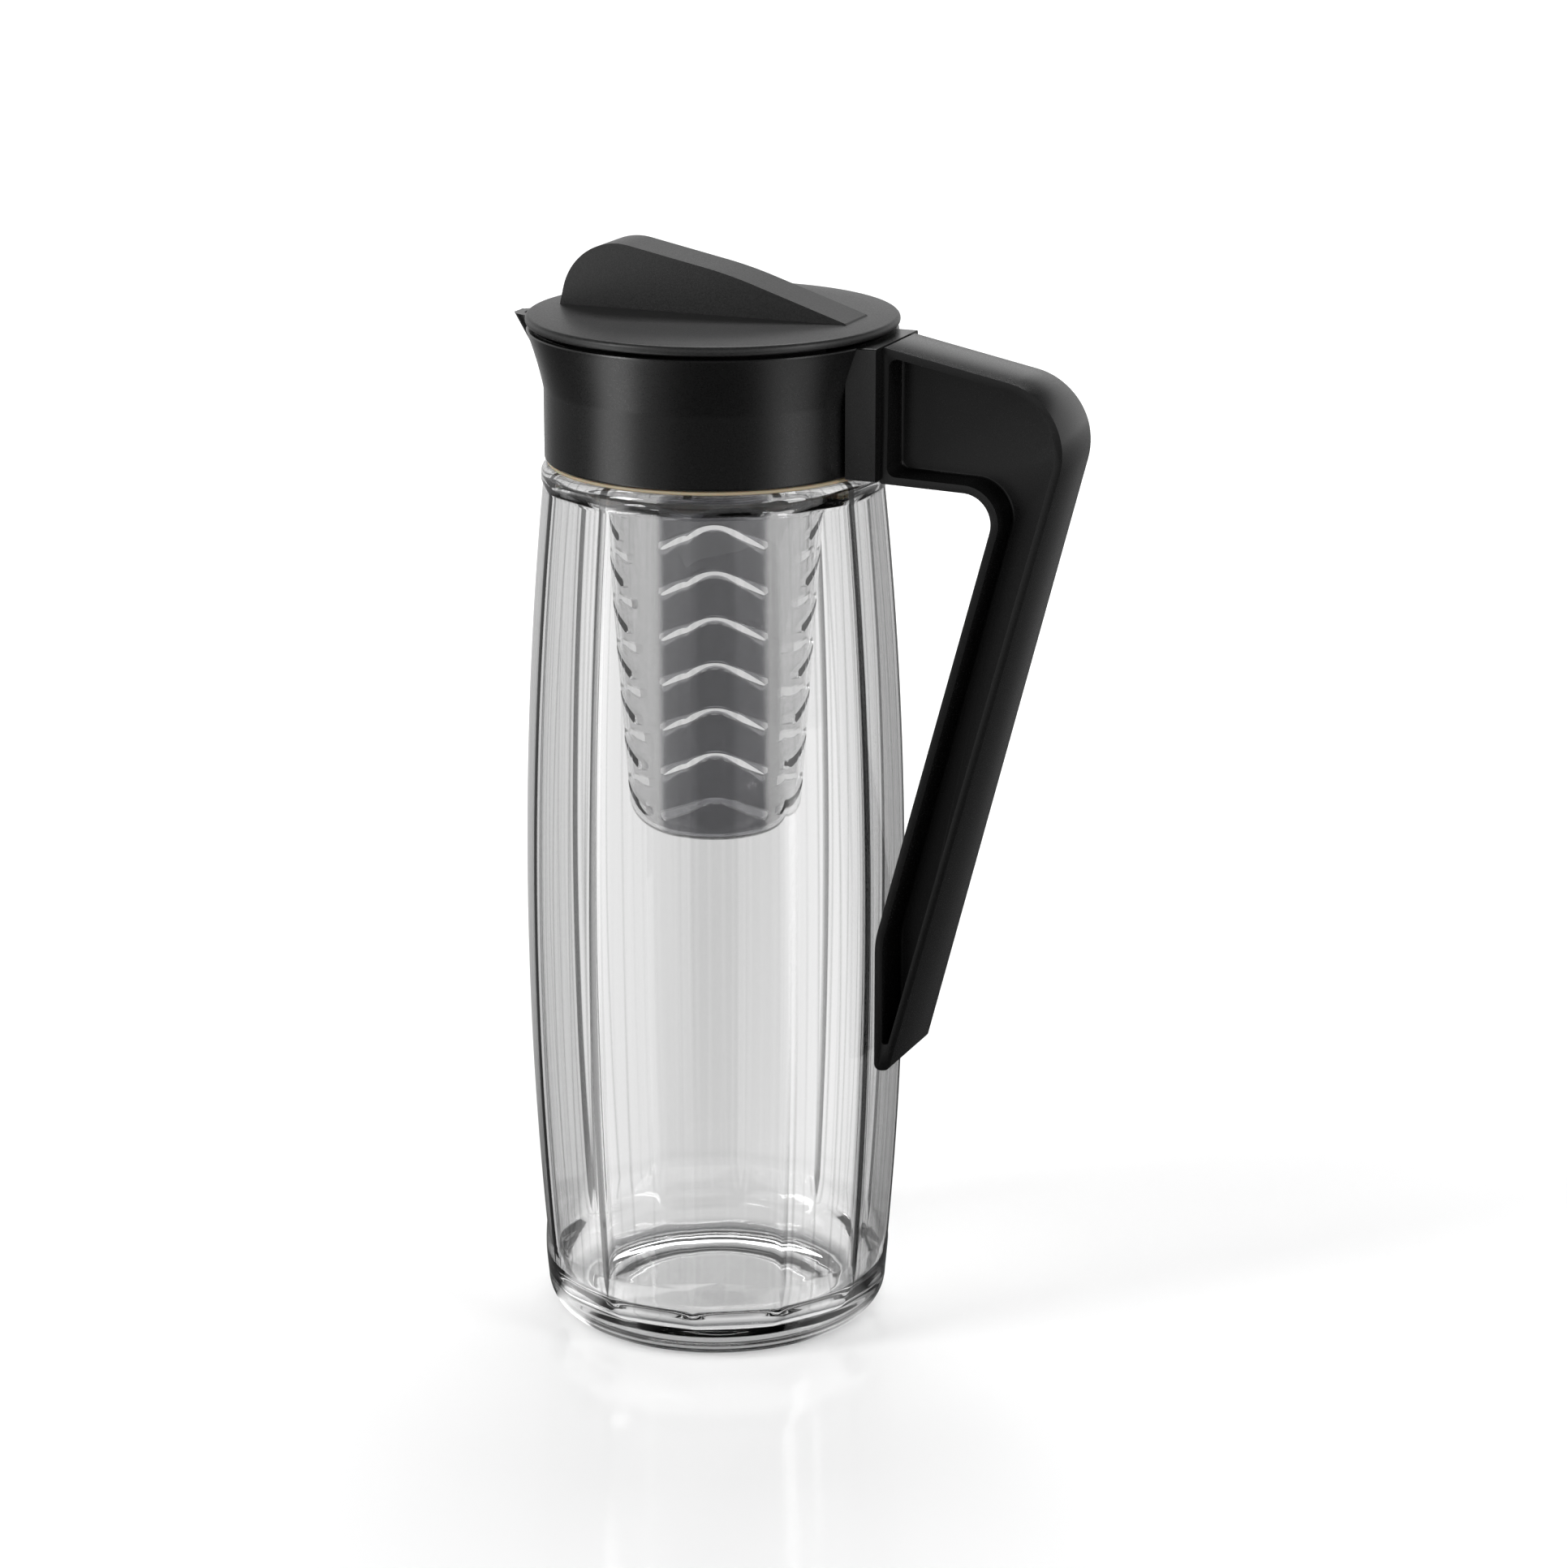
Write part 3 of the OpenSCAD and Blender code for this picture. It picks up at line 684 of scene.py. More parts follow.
@dataclass
class FlutedJug:
    """The clear jug: thick round base, fluted barrel, plain neck, and the gasket on its shoulder."""

    crown_r: float = 53.0
    crown_z: float = 118.0
    barrel_arc_r: float = 1170.0
    barrel_h: float = 240.0
    flutes: int = 12
    flute_depth: float = 1.1
    blunt: float = 0.12
    ridge_blend: float = 0.14
    wall: float = 2.4
    floor_t: float = 7.0
    base_round: float = 9.3
    foot_r: float = 36.0
    foot_lip: float = 1.2
    foot_hollow: float = 0.9
    flute_start: float = 13.0
    fade_low: float = 9.0
    fade_high: float = 3.0
    flute_margin: float = 2.6
    fade_out: float = 1.72
    inner_corner: float = 11.0
    corner_gain: float = 2.2
    shoulder_round: float = 2.4
    shoulder_low: float = 2.0
    shoulder_step: Point = (0.8, 1.2)
    ledge_z: float = 243.2
    neck_r: float = 41.8
    neck_wall: float = 2.4
    neck_top: float = 262.4
    neck_edge: float = 0.6
    neck_fillet: Point = (0.5, 0.4)
    throat: float = 3.0
    throat_low: float = 0.2
    bead_low: float = 246.8
    bead_w: float = 2.2
    bead_h: float = 0.5
    bead_gap: float = 0.3
    gasket_r: float = 44.7
    gasket_low: float = 243.35
    gasket_t: float = 1.1
    gasket_gap: float = 0.15
    gasket_nose: float = 0.4
    steps: int = 384
    gasket_steps: int = 192
    levels: int = 56
    fine_levels: int = 10
    top_levels: int = 8
    bead_steps: int = 6
    edge_steps: int = 4
    corner_steps: int = 14
    crowding: float = 1.25
    inner_share: float = 0.9
    wall_slack: float = 0.5
    # Spacing of the painted ridge lines, and the height and reach of the painted shade at the foot
    ridge_reach: float = 14.0
    ridge_start: float = 2.0
    ridge_fade: float = 0.011
    no_line: float = 0.32
    painted_foot_shade_height: float = 3.0
    foot_margin: float = 2.0

    def ridge_at(self, z: float) -> float:
        """Radius of the ridges at height z."""
        drop = z - self.crown_z
        return self.crown_r - self.barrel_arc_r + math.sqrt(self.barrel_arc_r ** 2 - drop ** 2)

    def side_at(self, z: float) -> float:
        """Radius of the plain barrel, which the flutes are sunk into."""
        return self.ridge_at(z) - self.blunt

    def flute_sink(self, z: float, turn: float) -> float:
        """How far the fluted surface lies inside the plain barrel.

        Args:
            z: height in millimetres.
            turn: angle off the flute's middle in radians.

        Returns:
            The distance in millimetres.
        """
        half = math.pi / self.flutes
        mid = self.crown_r - self.flute_depth
        shift = (self.crown_r ** 2 - mid ** 2) / (2.0 * (mid - self.crown_r * math.cos(half)))
        low, high = self.flute_start + self.fade_low, self.barrel_h - self.flute_margin
        fade = self.fade_out * (max(0.0, low - z) / self.fade_low + max(0.0, z - high) / self.fade_high)
        far = self.ridge_at(z) - self.flute_depth + fade + shift
        total = 1.0
        for off in (abs(turn), 2.0 * half - abs(turn)):
            panel = math.sqrt(far ** 2 - (shift * math.sin(off)) ** 2) - shift * math.cos(off)
            total += math.exp(-(panel - self.side_at(z)) / self.ridge_blend)
        return self.ridge_blend * math.log(total)

    def heights(self) -> list[float]:
        """Heights of the barrel's rings, closer together where the flutes fade."""
        low, high = self.flute_start, self.barrel_h
        fine = [low + self.fade_low * i / self.fine_levels for i in range(self.fine_levels)]
        first, last = low + self.fade_low, high - self.flute_margin - 1.0
        coarse = [first + (last - first) * i / self.levels for i in range(self.levels)]
        top = [last + (high - last) * i / self.top_levels for i in range(self.top_levels + 1)]
        return fine + coarse + top

    def profile(self) -> list[Point]:
        """Outline of the jug's wall, floor and neck before fluting, as radius and height."""
        heights = self.heights()
        base_x = self.side_at(self.base_round) - self.base_round
        shoulder_x = self.side_at(self.barrel_h) - self.shoulder_round
        neck_in = self.neck_r - self.neck_wall
        corner_z = self.floor_t + self.inner_corner
        corner_x = self.side_at(corner_z) - self.wall - self.inner_corner
        shoulder_z = self.barrel_h - self.shoulder_low
        inner = [z for z in heights if corner_z + 1.0 < z < shoulder_z]
        edge, (fillet_x, fillet_z), (step_x, step_z) = self.neck_edge, self.neck_fillet, self.shoulder_step
        bead = [(self.neck_r + self.bead_h * math.sin(math.pi * i / self.bead_steps),
                 self.bead_low + self.bead_w * i / self.bead_steps) for i in range(self.bead_steps + 1)]
        return [
            (0.0, self.foot_hollow), (self.foot_r * 0.5, self.foot_hollow), (self.foot_r, self.foot_hollow),
            *arc((self.foot_r + self.foot_lip, self.foot_hollow), self.foot_hollow, 200.0, 270.0,
                 self.edge_steps),
            *arc((base_x, self.base_round), self.base_round, -90.0, 0.0, self.corner_steps),
            *[(self.side_at(z), z) for z in heights],
            *arc((shoulder_x, self.ledge_z - self.shoulder_round), self.shoulder_round, 8.0, 90.0, 7),
            (self.neck_r + fillet_x, self.ledge_z), (self.neck_r, self.ledge_z + fillet_z),
            (self.neck_r, self.bead_low - self.bead_gap), *bead,
            (self.neck_r, self.bead_low + self.bead_w + self.bead_gap),
            *arc((self.neck_r - edge, self.neck_top - edge), edge, 0.0, 90.0, self.edge_steps),
            *arc((neck_in + edge, self.neck_top - edge), edge, 90.0, 180.0, self.edge_steps),
            (neck_in, self.ledge_z + self.throat), (neck_in, self.ledge_z + fillet_z),
            *arc((neck_in + self.throat, self.ledge_z + self.throat_low), self.throat, 180.0, 218.0,
                 self.edge_steps),
            (self.side_at(shoulder_z) - self.wall - step_x, self.barrel_h - step_z),
            *[(self.side_at(z) - self.wall, z) for z in reversed(inner)],
            *arc((corner_x, corner_z), self.inner_corner, 0.0, -90.0, self.corner_steps),
            (corner_x * 0.6, self.floor_t), (corner_x * 0.3, self.floor_t), (0.0, self.floor_t),
        ]

    def crowd(self, turn: float, half: float) -> float:
        """Move a step's angle off the flute's middle closer to the ridges."""
        share = 1.0 - max(0.0, 1.0 - abs(turn) / half) ** self.crowding
        return math.copysign(half * share, turn)

    def body(self) -> Object:
        """Turn the plain jug, then sink the flutes into both sides of its wall."""
        piece = turned("fluted_jug", self.profile(), self.steps)
        half = math.pi / self.flutes
        # The ridge and foot attributes place the material's painted highlight and dark lines and its
        # painted foot shade
        crest = piece.data.attributes.new("ridge", "FLOAT", "POINT")
        foot = piece.data.attributes.new("foot", "FLOAT", "POINT")
        corner_z = self.floor_t + self.inner_corner
        for number, vertex in enumerate(piece.data.vertices):
            x, y, z = vertex.co / MM
            radius, angle = math.hypot(x, y), math.atan2(y, x)
            crest.data[number].value = self.no_line
            if radius < MERGE:
                continue
            middle = round(angle / (2.0 * half)) * 2.0 * half
            turn = self.crowd(angle - middle, half)
            depth = self.side_at(z) - radius
            in_wall = depth < self.wall + self.wall_slack
            # Painted shade at the bottom edge, fading upwards
            if radius > self.foot_r + self.foot_margin:
                foot.data[number].value = max(0.0, 1.0 - z / self.painted_foot_shade_height)
            if z > self.flute_start - self.ridge_start and in_wall:
                off = radius * (half - abs(turn)) / self.ridge_reach
                below = max(0.0, self.flute_start + self.fade_low - z)
                crest.data[number].value = min(1.0, off + below * self.ridge_fade)
            if self.flute_start <= z <= self.barrel_h and in_wall:
                radius -= self.flute_sink(z, turn) * (1.0 if depth < self.wall / 2.0 else self.inner_share)
            elif self.floor_t - HAIR <= z <= corner_z and depth > self.wall:
                sink = self.flute_sink(corner_z + self.fade_low, turn)
                radius -= sink * self.corner_gain * (radius / self.crown_r) ** 2
            vertex.co = Vector((radius * math.cos(middle + turn), radius * math.sin(middle + turn), z)) * MM
        return smooth(piece, 50.0)

    def gasket(self) -> Object:
        """The flat silicone ring with its rounded outer edge."""
        high = self.gasket_low + self.gasket_t
        mid = (self.gasket_low + high) / 2.0
        inner = self.neck_r + self.gasket_gap
        rounded = arc((self.gasket_r - self.gasket_nose, mid), self.gasket_t / 2.0, -90.0, 90.0, 8)
        profile = [(inner, self.gasket_low), *rounded, (inner, high)]
        return smooth(turned("silicone_gasket", profile, self.gasket_steps))

    def build(self) -> None:
        """Make and dress the jug and its gasket."""
        mount(self.body(), "jug", JUG_PLASTIC.material(), ["jug_body"])
        mount(self.gasket(), "jug", CLEAR_SILICONE.material(), ["neck_gasket"])


# ---- Collar ----


@dataclass
class PouringCollar:
    """The black collar: upright ring, hollow flare, slanted lip, shelf inside and handle bracket."""

    collar_r: float = 45.5
    bottom: float = 244.6
    flare_z: float = 264.0
    rim_z: float = 280.0
    flare_arc_r: float = 105.0
    flare_lean: float = 11.3
    bowl_t: float = 2.2
    rim_round: float = 0.5
    rim_side: float = 0.15
    rim_mid: float = 0.32
    rim_soft: float = 0.12
    rim_flat: float = 0.1
    bowl_soft: float = 0.08
    edge_round: float = 0.8
    socket_r: float = 42.0
    shelf_low: float = 262.6
    shelf_top: float = 264.8
    shelf_in: float = 39.4
    shelf_fillet: float = 0.6
    shelf_clear: float = 1.0
    bead_low: float = 246.8
    bead_top: float = 2.6
    bead_mid: Point = (0.5, 1.1)
    lip_lean: float = 20.0
    lip_low_r: float = 1.6
    lip_top_r: float = 6.0
    lip_t: float = 1.6
    lip_least: float = 0.1
    lip_z: float = 258.0
    lip_x: float = -44.0
    bracket_x: float = 52.9
    bracket_w: float = 30.5
    bracket_round: float = 0.7
    clear_top: float = 12.0
    clear_step: Point = (0.2, 1.0)
    clear_wide: float = 2.0
    steps: int = 192
    flare_steps: int = 16
    lip_steps: int = 96

    def flare(self, inward: float) -> list[Point]:
        """The flare's hollow curve.

        Args:
            inward: how far it is moved towards the axis.

        Returns:
            Radius and height from the bottom of the flare to the rim.
        """
        sine = math.sin(math.radians(self.flare_lean))
        end = math.degrees(math.asin(sine + (self.rim_z - self.flare_z) / self.flare_arc_r))
        x = self.collar_r - inward + self.flare_arc_r * math.cos(math.radians(self.flare_lean))
        z = self.flare_z - self.flare_arc_r * sine
        curve = arc((x, z), self.flare_arc_r, self.flare_lean, end, self.flare_steps)
        return [(2.0 * x - px, pz) for px, pz in curve]

    def ring(self) -> Object:
        """The turned ring with its flare, bowl, shelf and socket."""
        outer, bowl = self.flare(0.0), self.bowl_side()
        (out_x, out_z), (in_x, in_z) = outer[-1], bowl[-1]
        r, edge, soft = self.rim_round, self.edge_round, self.rim_soft
        bowl_x, bead_x = self.collar_r - self.bowl_t, self.socket_r + self.bead_mid[0]
        profile = [
            (self.socket_r, self.bottom),
            *arc((self.collar_r - edge, self.bottom + edge), edge, -90.0, 0.0, 5),
            *outer[:-1],
            (out_x - self.rim_side, out_z - r), (out_x - self.rim_mid, out_z - soft),
            (out_x - r - self.rim_flat, out_z),
            (in_x + r, in_z), (in_x + soft, in_z - soft), (in_x - self.bowl_soft, in_z - r),
            *reversed(bowl[:-1]),
            (bowl_x, self.shelf_top + self.shelf_fillet), (bowl_x - self.shelf_fillet, self.shelf_top),
            (self.shelf_in, self.shelf_top), (self.shelf_in, self.shelf_low),
            (self.socket_r, self.shelf_low),
            (self.socket_r, self.bead_low + self.bead_top), (bead_x, self.bead_low + self.bead_mid[1]),
            (self.socket_r, self.bead_low),
        ]
        return turned("pouring_collar", profile, self.steps)

    def bowl_side(self) -> list[Point]:
        """The bowl's side above its shelf, from the bottom to the rim."""
        return [p for p in self.flare(self.bowl_t) if p[1] > self.shelf_top + self.shelf_clear]

    def cone(self, inward: float) -> Object:
        """The lip's slanted cone, drawn in by a distance."""
        lean = math.radians(self.lip_lean)
        depth = (self.rim_z - self.lip_z) / math.cos(lean) + self.lip_top_r * math.sin(lean)
        axis = Vector((-math.sin(lean), 0.0, math.cos(lean)))
        start = Vector((self.lip_x, 0.0, self.lip_z + inward))
        deselect()
        bpy.ops.mesh.primitive_cone_add(
            vertices=self.lip_steps, radius1=max(self.lip_low_r - inward, self.lip_least) * MM,
            radius2=(self.lip_top_r - inward) * MM, depth=depth * MM,
            location=(start + axis * depth / 2.0) * MM, rotation=(0.0, -lean, 0.0))
        piece = named("lip_cone")
        bpy.ops.object.transform_apply(location=True, rotation=True, scale=True)
        return piece

    def bracket(self) -> Object:
        """The block on the handle's side, up to the seam."""
        inner = self.collar_r - self.bowl_t / 2.0
        outline = [(inner, self.bottom), (self.bracket_x, self.bottom),
                   (self.bracket_x, self.rim_z), (inner, self.rim_z)]
        piece = slab("bracket_block", outline, -self.bracket_w / 2.0, self.bracket_w / 2.0)
        return bevel(piece, self.bracket_round, 3,
                     lambda mid, turn: inner + 1.0 < mid.x < self.bracket_x - 0.5)

    def bowl_tool(self) -> Object:
        """A solid of the room inside the rim, to clear the lip and bracket out of it."""
        bowl, top = self.bowl_side(), self.rim_z + self.clear_top
        profile = [(0.0, self.shelf_top), (self.collar_r - self.bowl_t, self.shelf_top), *bowl,
                   (bowl[-1][0] + self.clear_step[0], self.rim_z + self.clear_step[1]),
                   (bowl[-1][0] + self.clear_wide, top), (0.0, top)]
        return turned("bowl_tool", profile, self.steps)

    def build(self) -> None:
        """Join the ring, lip and bracket, clear the bowl and the lip's channel, and dress it."""
        piece = self.ring()
        combine(piece, cut_level(self.cone(0.0), self.rim_z, keep_above=False), "UNION")
        combine(piece, self.bracket(), "UNION")
        combine(piece, cut_level(self.cone(self.lip_t), self.shelf_top, keep_above=True), "DIFFERENCE")
        combine(piece, self.bowl_tool(), "DIFFERENCE")
        clean(piece)
        smooth(piece, 30.0)
        mount(piece, "jug", COLLAR_PLASTIC.material(), ["collar"])


# ---- Handle ----


@dataclass
class RailHandle:
    """The handle: a rail bent round a thin web, wide at the collar and at the foot."""

    seam_x: float = 52.9
    rim_z: float = 280.0
    plate_low: float = 243.8
    armpit: Point = (86.5, 243.0)
    heel: Point = (53.6, 118.0)
    foot_z: float = 80.8
    foot_t: float = 4.1
    foot_rise: float = 0.6
    elbow: Point = (107.7, 269.2)
    rounds: tuple[float, ...] = (0.8, 0.8, 8.0, 25.0, 1.8, 1.8, 18.5)
    plate_t: float = 2.0
    rail_t: float = 2.1
    foot_solid: float = 7.4
    recess_round: float = 2.4
    slot_round: float = 0.7
    web_t: float = 2.6
    plate_w: float = 30.4
    elbow_w: float = 22.0
    foot_w: float = 39.0
    edge_round: float = 0.75
    edge_reach: float = 0.5
    seam_margin: float = 0.2
    fillet: float = 2.2
    blank_half: float = 20.0
    tool_reach: float = 30.0
    steps: int = 20

    def half_width(self, x: float, z: float) -> float:
        """Half of the handle's width: narrowing along the arm, then widening down the grip."""
        along = (x - self.seam_x) / (self.elbow[0] - self.seam_x)
        down = (self.elbow[1] - z) / (self.elbow[1] - self.foot_z)
        arm = self.plate_w + (self.elbow_w - self.plate_w) * along
        grip = self.elbow_w + (self.foot_w - self.elbow_w) * max(0.0, down)
        return min(arm, grip) / 2.0

    def build(self) -> None:
        """Cut the recess into both sides of a solid blank, set its width along the rail, and round its
        edges.
        """
        corners = [(self.seam_x, self.rim_z), (self.seam_x, self.plate_low), self.armpit, self.heel,
                   (self.heel[0], self.foot_z), (self.heel[0] + self.foot_t, self.foot_z + self.foot_rise),
                   self.elbow]
        shifts = [self.plate_t, *[self.rail_t] * 3, self.foot_solid, self.rail_t, self.rail_t]
        inner_rounds = [self.recess_round, self.recess_round, self.rounds[2] + self.rail_t,
                        self.rounds[3] + self.rail_t, self.slot_round, self.slot_round,
                        self.rounds[6] - self.rail_t]
        outer = round_outline(corners, self.rounds, self.steps)
        inner = round_outline(inset_outline(corners, shifts), inner_rounds, self.steps)
        piece = slab("rail_handle", outer, -self.blank_half, self.blank_half)
        for side in (-1.0, 1.0):
            low, high = sorted((side * self.web_t / 2.0, side * self.tool_reach))
            combine(piece, slab("recess_tool", inner, low, high), "DIFFERENCE")
        for vertex in piece.data.vertices:
            x, y, z = vertex.co / MM
            if abs(y) > self.web_t:
                vertex.co.y = math.copysign(self.half_width(x, z) * MM, y)
        clean(piece)
        bevel(piece, self.fillet, 4, lambda mid, turn: turn > SHARP and abs(mid.y) < self.web_t)
        bevel(piece, self.edge_round, 3, lambda mid, turn: (
            turn > SHARP and mid.x > self.seam_x + self.seam_margin
            and abs(mid.y) > self.half_width(mid.x, mid.z) - self.edge_reach))
        smooth(piece, 32.0)
        mount(piece, "jug", HANDLE_PLASTIC.material(), ["handle"])


# ---- Lid ----


@dataclass
class TurningLid:
    """The lid cover: soft-edged disc, high grip fin, and the shutter and post below it."""

    lid_r: float = 50.2
    bottom: float = 281.0
    lid_t: float = 3.3
    edge_round: float = 1.2
    fin_t: float = 15.0
    shoulder_r: float = 38.0
    shoulder_drop: float = 0.7
    fin_corners: tuple[Point, ...] = (
        (-41.9, 283.0), (42.5, 283.0), (41.2, 284.6), (8.0, 295.4), (-37.0, 304.4))
    fin_rounds: tuple[float, ...] = (0.2, 0.1, 0.5, 120.0, 16.5)
    fin_edge: float = 0.8
    fin_margin: float = 0.1
    fin_steps: int = 28
    fall_shares: tuple[float, ...] = (1.0, 0.85, 0.7, 0.55, 0.4, 0.25, 0.1)
    flat_share: float = 0.6
    steps: int = 192

    def disc(self) -> Object:
        """The turned disc, with a shallow underside."""
        top, x = self.bottom + self.lid_t, self.lid_r - self.edge_round
        fall = [(self.shoulder_r + (x - self.shoulder_r) * t, top - self.shoulder_drop * t * t)
                for t in self.fall_shares]
        profile = [(0.0, self.bottom), (x * self.flat_share, self.bottom),
                   *arc((x, self.bottom + self.edge_round), self.edge_round, -90.0, 0.0, 6),
                   *arc((x, top - self.edge_round - self.shoulder_drop), self.edge_round, 0.0, 80.0, 6),
                   *fall, (x * self.flat_share, top), (0.0, top)]
        return turned("turning_lid", profile, self.steps)

    def fin(self) -> Object:
        """The grip fin with rounded edges along its back."""
        outline = round_outline(self.fin_corners, self.fin_rounds, self.fin_steps)
        piece = slab("fin", outline, -self.fin_t / 2.0, self.fin_t / 2.0)
        top = self.bottom + self.lid_t
        return bevel(piece, self.fin_edge, 4,
                     lambda mid, turn: turn > SHARP and mid.z > top + self.fin_margin)

    def underside(self) -> Object:
        """The shutter and post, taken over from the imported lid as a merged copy."""
        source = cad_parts["lid_cover"]
        piece = bpy.data.objects.new("lid_underside", source.data.copy())
        bpy.context.scene.collection.objects.link(piece)
        return cut_level(clean(piece), self.bottom - HAIR, keep_above=False)

    def build(self) -> None:
        """Join the disc and fin, add the shutter and post, and dress them."""
        piece = combine(self.disc(), self.fin(), "UNION")
        clean(piece)
        smooth(piece, 30.0)
        mount(piece, "cover", LID_PLASTIC.material(), ["lid_cover"])
        under = smooth(self.underside(), 30.0)
        under.name = under.data.name = "lid_shutter"
        mount(under, "cover", PLUG_PLASTIC.material())


# ---- Basket ----


@dataclass
class InfuserBasket:
    """The smoky basket: tapered cup with rows of chevron slots."""

    top_r: float = 31.9
    top: float = 264.65
    height: float = 123.65
    slope: float = 0.0686
    wall: float = 1.6
    bottom_round: float = 9.0
    rows: int = 7
    columns: int = 4
    pitch: float = 12.78
    first_rise: float = 14.6
    slot_w: float = 1.8
    slot_end: float = 3.0
    slot_half: float = 14.4
    slot_drop: float = 7.2
    peak_round: float = 9.0
    tip_round: float = 1.0
    phase: float = -66.3
    rim_round: Point = (0.2, 0.5)
    bar_start: float = 12.0
    bar_reach: float = 26.0
    side_rings: int = 24
    round_steps: int = 12
    slot_steps: int = 8
    steps: int = 256

    def radius(self, z: float) -> float:
        """Outer radius at height z."""
        return self.top_r + self.slope * (z - self.top)

    def cup(self) -> Object:
        """The turned cup with its rounded bottom."""
        bottom = self.top - self.height
        start = self.radius(bottom)
        corner = (start - self.bottom_round, bottom + self.bottom_round)
        rim_x, rim_z = self.rim_round
        up = [(corner[1] + (self.top - rim_z - corner[1]) * i / self.side_rings)
              for i in range(1, self.side_rings + 1)]
        reach = [(start + (self.top_r - start) * (z - corner[1]) / (self.top - corner[1]), z) for z in up]
        profile = [
            (0.0, bottom), (corner[0] * 0.5, bottom),
            *arc(corner, self.bottom_round, -90.0, 0.0, self.round_steps),
            *reach, (self.top_r - rim_x, self.top), (self.top_r - self.wall + rim_x, self.top),
            *[(r - self.wall, z) for r, z in reversed(reach)],
            *arc(corner, self.bottom_round - self.wall, 0.0, -90.0, self.round_steps),
            (corner[0] * 0.5, bottom + self.wall), (0.0, bottom + self.wall)]
        return turned("infuser_cup", profile, self.steps)

    def chevron(self) -> list[Point]:
        """Outline of one slot lying flat, as the distance across and the height."""
        side, low, half = self.slot_w / 2.0, -self.slot_drop - self.slot_end / 2.0, self.slot_half
        corners = [(-half, low), (0.0, -side), (half, low), (half, low + self.slot_end), (0.0, side),
                   (-half, low + self.slot_end)]
        rounds = [self.tip_round, self.peak_round - side, self.tip_round, self.tip_round,
                  self.peak_round + side, self.tip_round]
        return round_outline(corners, rounds, self.slot_steps)

    def cutters(self) -> Object:
        """All slots as one object of radial bars."""
        bottom = self.top - self.height
        outline = self.chevron()
        bars: list[Object] = []
        for column in range(self.columns):
            angle = math.radians(self.phase + column * 360.0 / self.columns)
            out = Vector((math.cos(angle), math.sin(angle), 0.0))
            across = Vector((-math.sin(angle), math.cos(angle), 0.0))
            for row in range(self.rows):
                z = bottom + self.first_rise + row * self.pitch
                points = [out * self.bar_start + across * a + Vector((0, 0, z + h)) for a, h in outline]
                bars.append(pulled(loop("slot_bar", points), out * self.bar_reach * MM))
        activate(bars[0])
        for bar in bars:
            bar.select_set(True)
        bpy.ops.object.join()
        return bars[0]

    def build(self) -> None:
        """Cut the slots out of the cup and dress the basket."""
        piece = combine(self.cup(), self.cutters(), "DIFFERENCE")
        clean(piece)
        smooth(piece, 30.0)
        mount(piece, "basket", BASKET_PLASTIC.material(), ["infuser_basket"])


# ---- Hidden pieces and stage ----


@dataclass
class HiddenPieces:
    """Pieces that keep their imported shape: plug, its ring, the clip and the screws."""

    weld_mm: float = 0.01

    def dress(self, node: str, finish: Material) -> None:
        """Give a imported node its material, and weld its split vertices so that it shades well."""
        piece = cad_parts[node]
        piece.data.materials.clear()
        piece.data.materials.append(finish)
        weld = piece.modifiers.new("weld", "WELD")
        weld.merge_threshold = self.weld_mm * MM

    def build(self) -> None:
        """Dress every hidden piece."""
        self.dress("lid_plug", PLUG_PLASTIC.material())
        self.dress("lid_gasket", WHITE_SILICONE.material())
        self.dress("lid_retainer", CLIP_STEEL.material())
        self.dress("handle_screws", SCREW_STEEL.material())


@dataclass(frozen=True)
class SoftLamp:
    """A soft lamp that looks at the pitcher: its place and size in metres, and its power in watts."""

    name: str
    place: tuple[float, float, float]
    size: Point
    power: float
    aim: tuple[float, float, float] = (0.0, 0.0, 0.15)

    def build(self) -> None:
        """Hang the lamp, which the camera doesn't see."""
        deselect()
        bpy.ops.object.light_add(type="AREA", location=self.place)
        lamp = bpy.context.object
        lamp.name = self.name
        lamp.rotation_mode = "QUATERNION"
        lamp.rotation_quaternion = (Vector(self.aim) - lamp.location).to_track_quat("-Z", "Y")
        lamp.data.shape = "RECTANGLE"
        lamp.data.size, lamp.data.size_y = self.size
        lamp.data.energy = self.power
        lamp.visible_camera = False


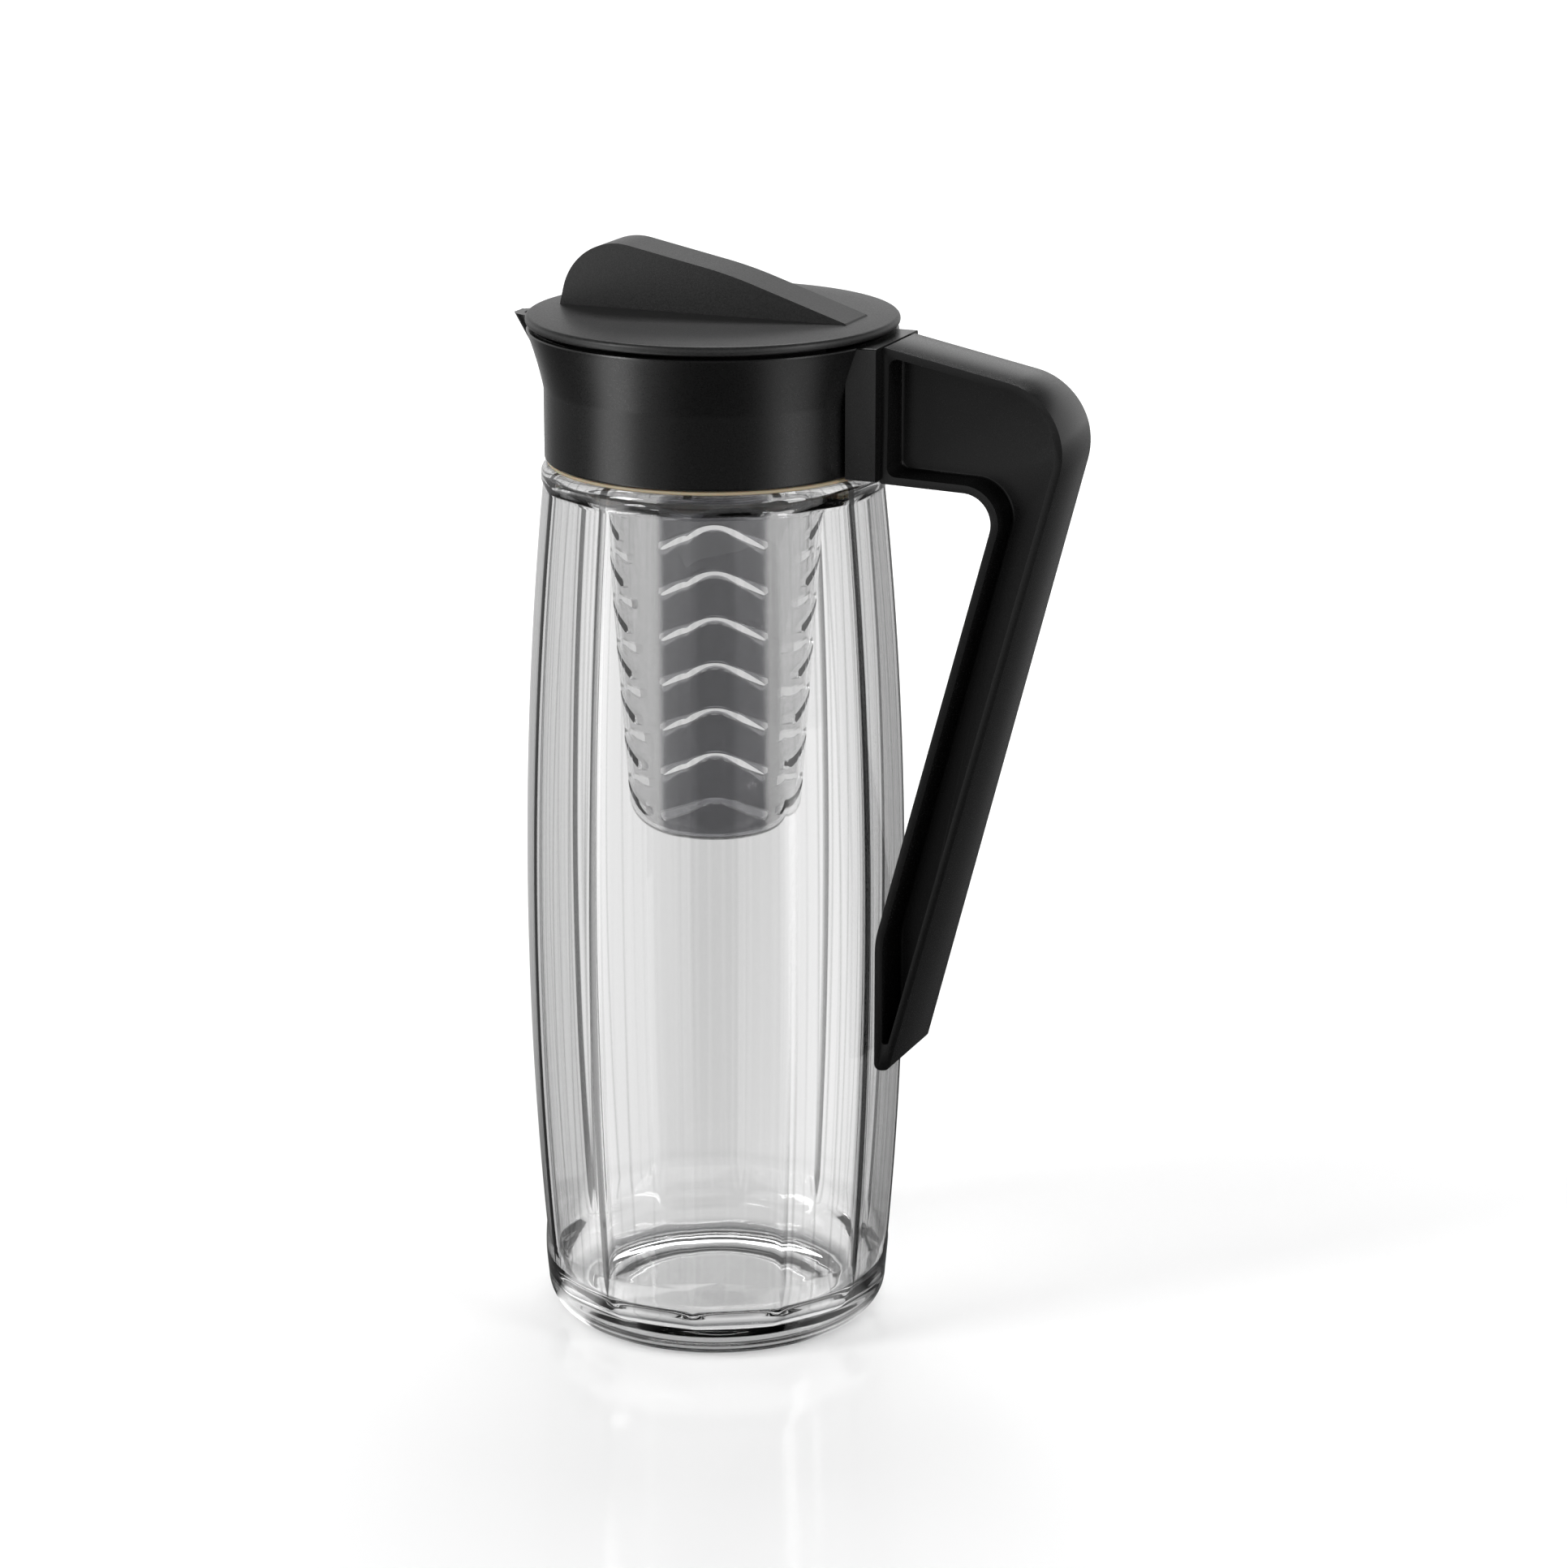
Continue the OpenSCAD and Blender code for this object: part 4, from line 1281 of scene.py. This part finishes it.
@dataclass
class Studio:
    """Camera, pale floor, white surroundings and soft lamps."""

    camera_at: tuple[float, float, float] = (0.46265, -1.05265, 0.49331)
    aim_at: tuple[float, float, float] = (0.01721, 0.00816, 0.15183)
    lens: float = 99.86
    sensor: float = 36.0
    clip: Point = (0.05, 50.0)
    floor_size: float = 8.0
    painted_reflection_glow: float = 2.4
    glow_reach: Point = (0.12, 0.8)
    glow_levels: Point = (0.03, 0.5)
    plain_share: float = 0.9
    room_level: float = 0.55
    lamps: tuple[SoftLamp, ...] = (
        SoftLamp("key_left", place=(-1.05, -1.17, 1.1), size=(0.45, 0.9), power=18.0),
        SoftLamp("fill_right", place=(1.6, -0.3, 0.7), size=(0.4, 1.0), power=11.0),
        SoftLamp("top_back", place=(-0.2, 0.9, 1.4), size=(0.9, 0.5), power=9.0))
    ceiling_stops: Stops = (
        (0.0, "#ffffff"), (0.33, "#ffffff"), (0.43, "#8c8c8c"), (0.6, "#404040"), (1.0, "#303030"))
    # Painted reflections for gloss rays round the pitcher: dark sectors for black cards, bright ones for
    # strip lamps
    painted_reflection_stops: Stops = (
        (0.0, "#242424"), (0.07, "#242424"), (0.10, "#ffffff"), (0.145, "#ffffff"), (0.165, "#686868"),
        (0.21, "#686868"), (0.25, "#080808"), (0.40, "#080808"), (0.44, "#a0a0a0"), (0.50, "#a0a0a0"),
        (0.54, "#343434"), (0.60, "#202020"), (0.72, "#1c1c1c"), (0.78, "#686868"), (0.86, "#686868"),
        (0.92, "#242424"))

    def camera(self) -> None:
        """Set up the camera at the photograph's viewing angle."""
        deselect()
        bpy.ops.object.camera_add(location=self.camera_at)
        camera = bpy.context.object
        camera.rotation_mode = "QUATERNION"
        camera.rotation_quaternion = (Vector(self.aim_at) - camera.location).to_track_quat("-Z", "Y")
        camera.data.lens = self.lens
        camera.data.sensor_width = self.sensor
        camera.data.clip_start, camera.data.clip_end = self.clip
        bpy.context.scene.camera = camera

    def floor(self) -> None:
        """A wide white sheet that keeps the shadow and a faint reflection.

        Gloss rays see painted reflections on it, and it glows to them: dark sectors on the side of the
        camera and beside the pitcher, where black cards would stand, and bright sectors where strip lamps
        would stand.
        """
        material, tree = new_material("white_acrylic_sheet")
        path = add(tree, "LightPath")
        place, glossy = place_on(tree), path.outputs["Is Glossy Ray"]
        axes = add(tree, "SeparateXYZ", {"Vector": place})
        turn = calc(tree, "ARCTAN2", axes.outputs["Y"], axes.outputs["X"])
        round_share = span(tree, turn, 0.0, 1.0, -math.pi, math.pi)
        # Painted reflections: gloss rays see the sectors, and the floor glows with them
        sheet = blend(tree, glossy, linear("#f6f6f6"), ramp(tree, round_share, self.painted_reflection_stops))
        far = add(tree, "VectorMath", {0: place}, operation="LENGTH").outputs["Value"]
        glow = span(tree, far, *self.glow_levels, *self.glow_reach)
        shader = add(tree, "BsdfPrincipled", {
            "Base Color": sheet, "Roughness": 0.10, "IOR": 1.45, "Emission Color": sheet,
            "Emission Strength": calc(tree, "MULTIPLY_ADD", glossy, self.painted_reflection_glow, glow)})
        plain = add(tree, "Emission", {"Color": linear("#f8f8f8"), "Strength": 1.0})
        surface = add(tree, "MixShader", {
            0: calc(tree, "MULTIPLY", path.outputs["Is Transmission Ray"], self.plain_share),
            1: shader.outputs["BSDF"], 2: plain.outputs["Emission"]})
        send_out(tree, surface.outputs["Shader"])
        deselect()
        bpy.ops.mesh.primitive_plane_add(size=self.floor_size)
        floor = named("floor")
        floor.data.materials.append(material)

    def surroundings(self) -> None:
        """White for the camera, gloss and see-through pieces, and a plain level for the rest.

        High up, gloss shows a darker ceiling, so that rounded edges stand out from flat faces.
        """
        world = bpy.data.worlds.new("white_room")
        world.use_nodes = True
        tree = world.node_tree
        tree.nodes.clear()
        path = add(tree, "LightPath")
        seen = calc(tree, "MAXIMUM", path.outputs["Is Camera Ray"], path.outputs["Is Glossy Ray"])
        shown = calc(tree, "MAXIMUM", seen, path.outputs["Is Transmission Ray"])
        plain = add(tree, "Background", {"Color": linear("#ffffff"), "Strength": self.room_level})
        height = add(tree, "SeparateXYZ", {"Vector": place_on(tree)}).outputs["Z"]
        ceiling = blend(tree, path.outputs["Is Glossy Ray"], linear("#ffffff"),
                        ramp(tree, height, self.ceiling_stops))
        white = add(tree, "Background", {"Color": ceiling, "Strength": 1.0})
        mixed = add(tree, "MixShader", {0: shown, 1: plain.outputs[0], 2: white.outputs[0]})
        add(tree, "OutputWorld", {"Surface": mixed.outputs[0]})
        bpy.context.scene.world = world

    def build(self) -> None:
        """Set up the whole stage."""
        self.camera()
        self.floor()
        self.surroundings()
        for lamp in self.lamps:
            lamp.build()
        bpy.context.scene.view_settings.view_transform = "Standard"


def main() -> None:
    """Build the stage and every sub-assembly in order, and report each one."""
    logging.basicConfig(level=logging.INFO, format="%(message)s")
    for part in (Studio(), FlutedJug(), PouringCollar(), RailHandle(), TurningLid(), InfuserBasket(),
                 HiddenPieces()):
        part.build()
        LOG.info("built %s", type(part).__name__)


if __name__ == "__main__":
    main()
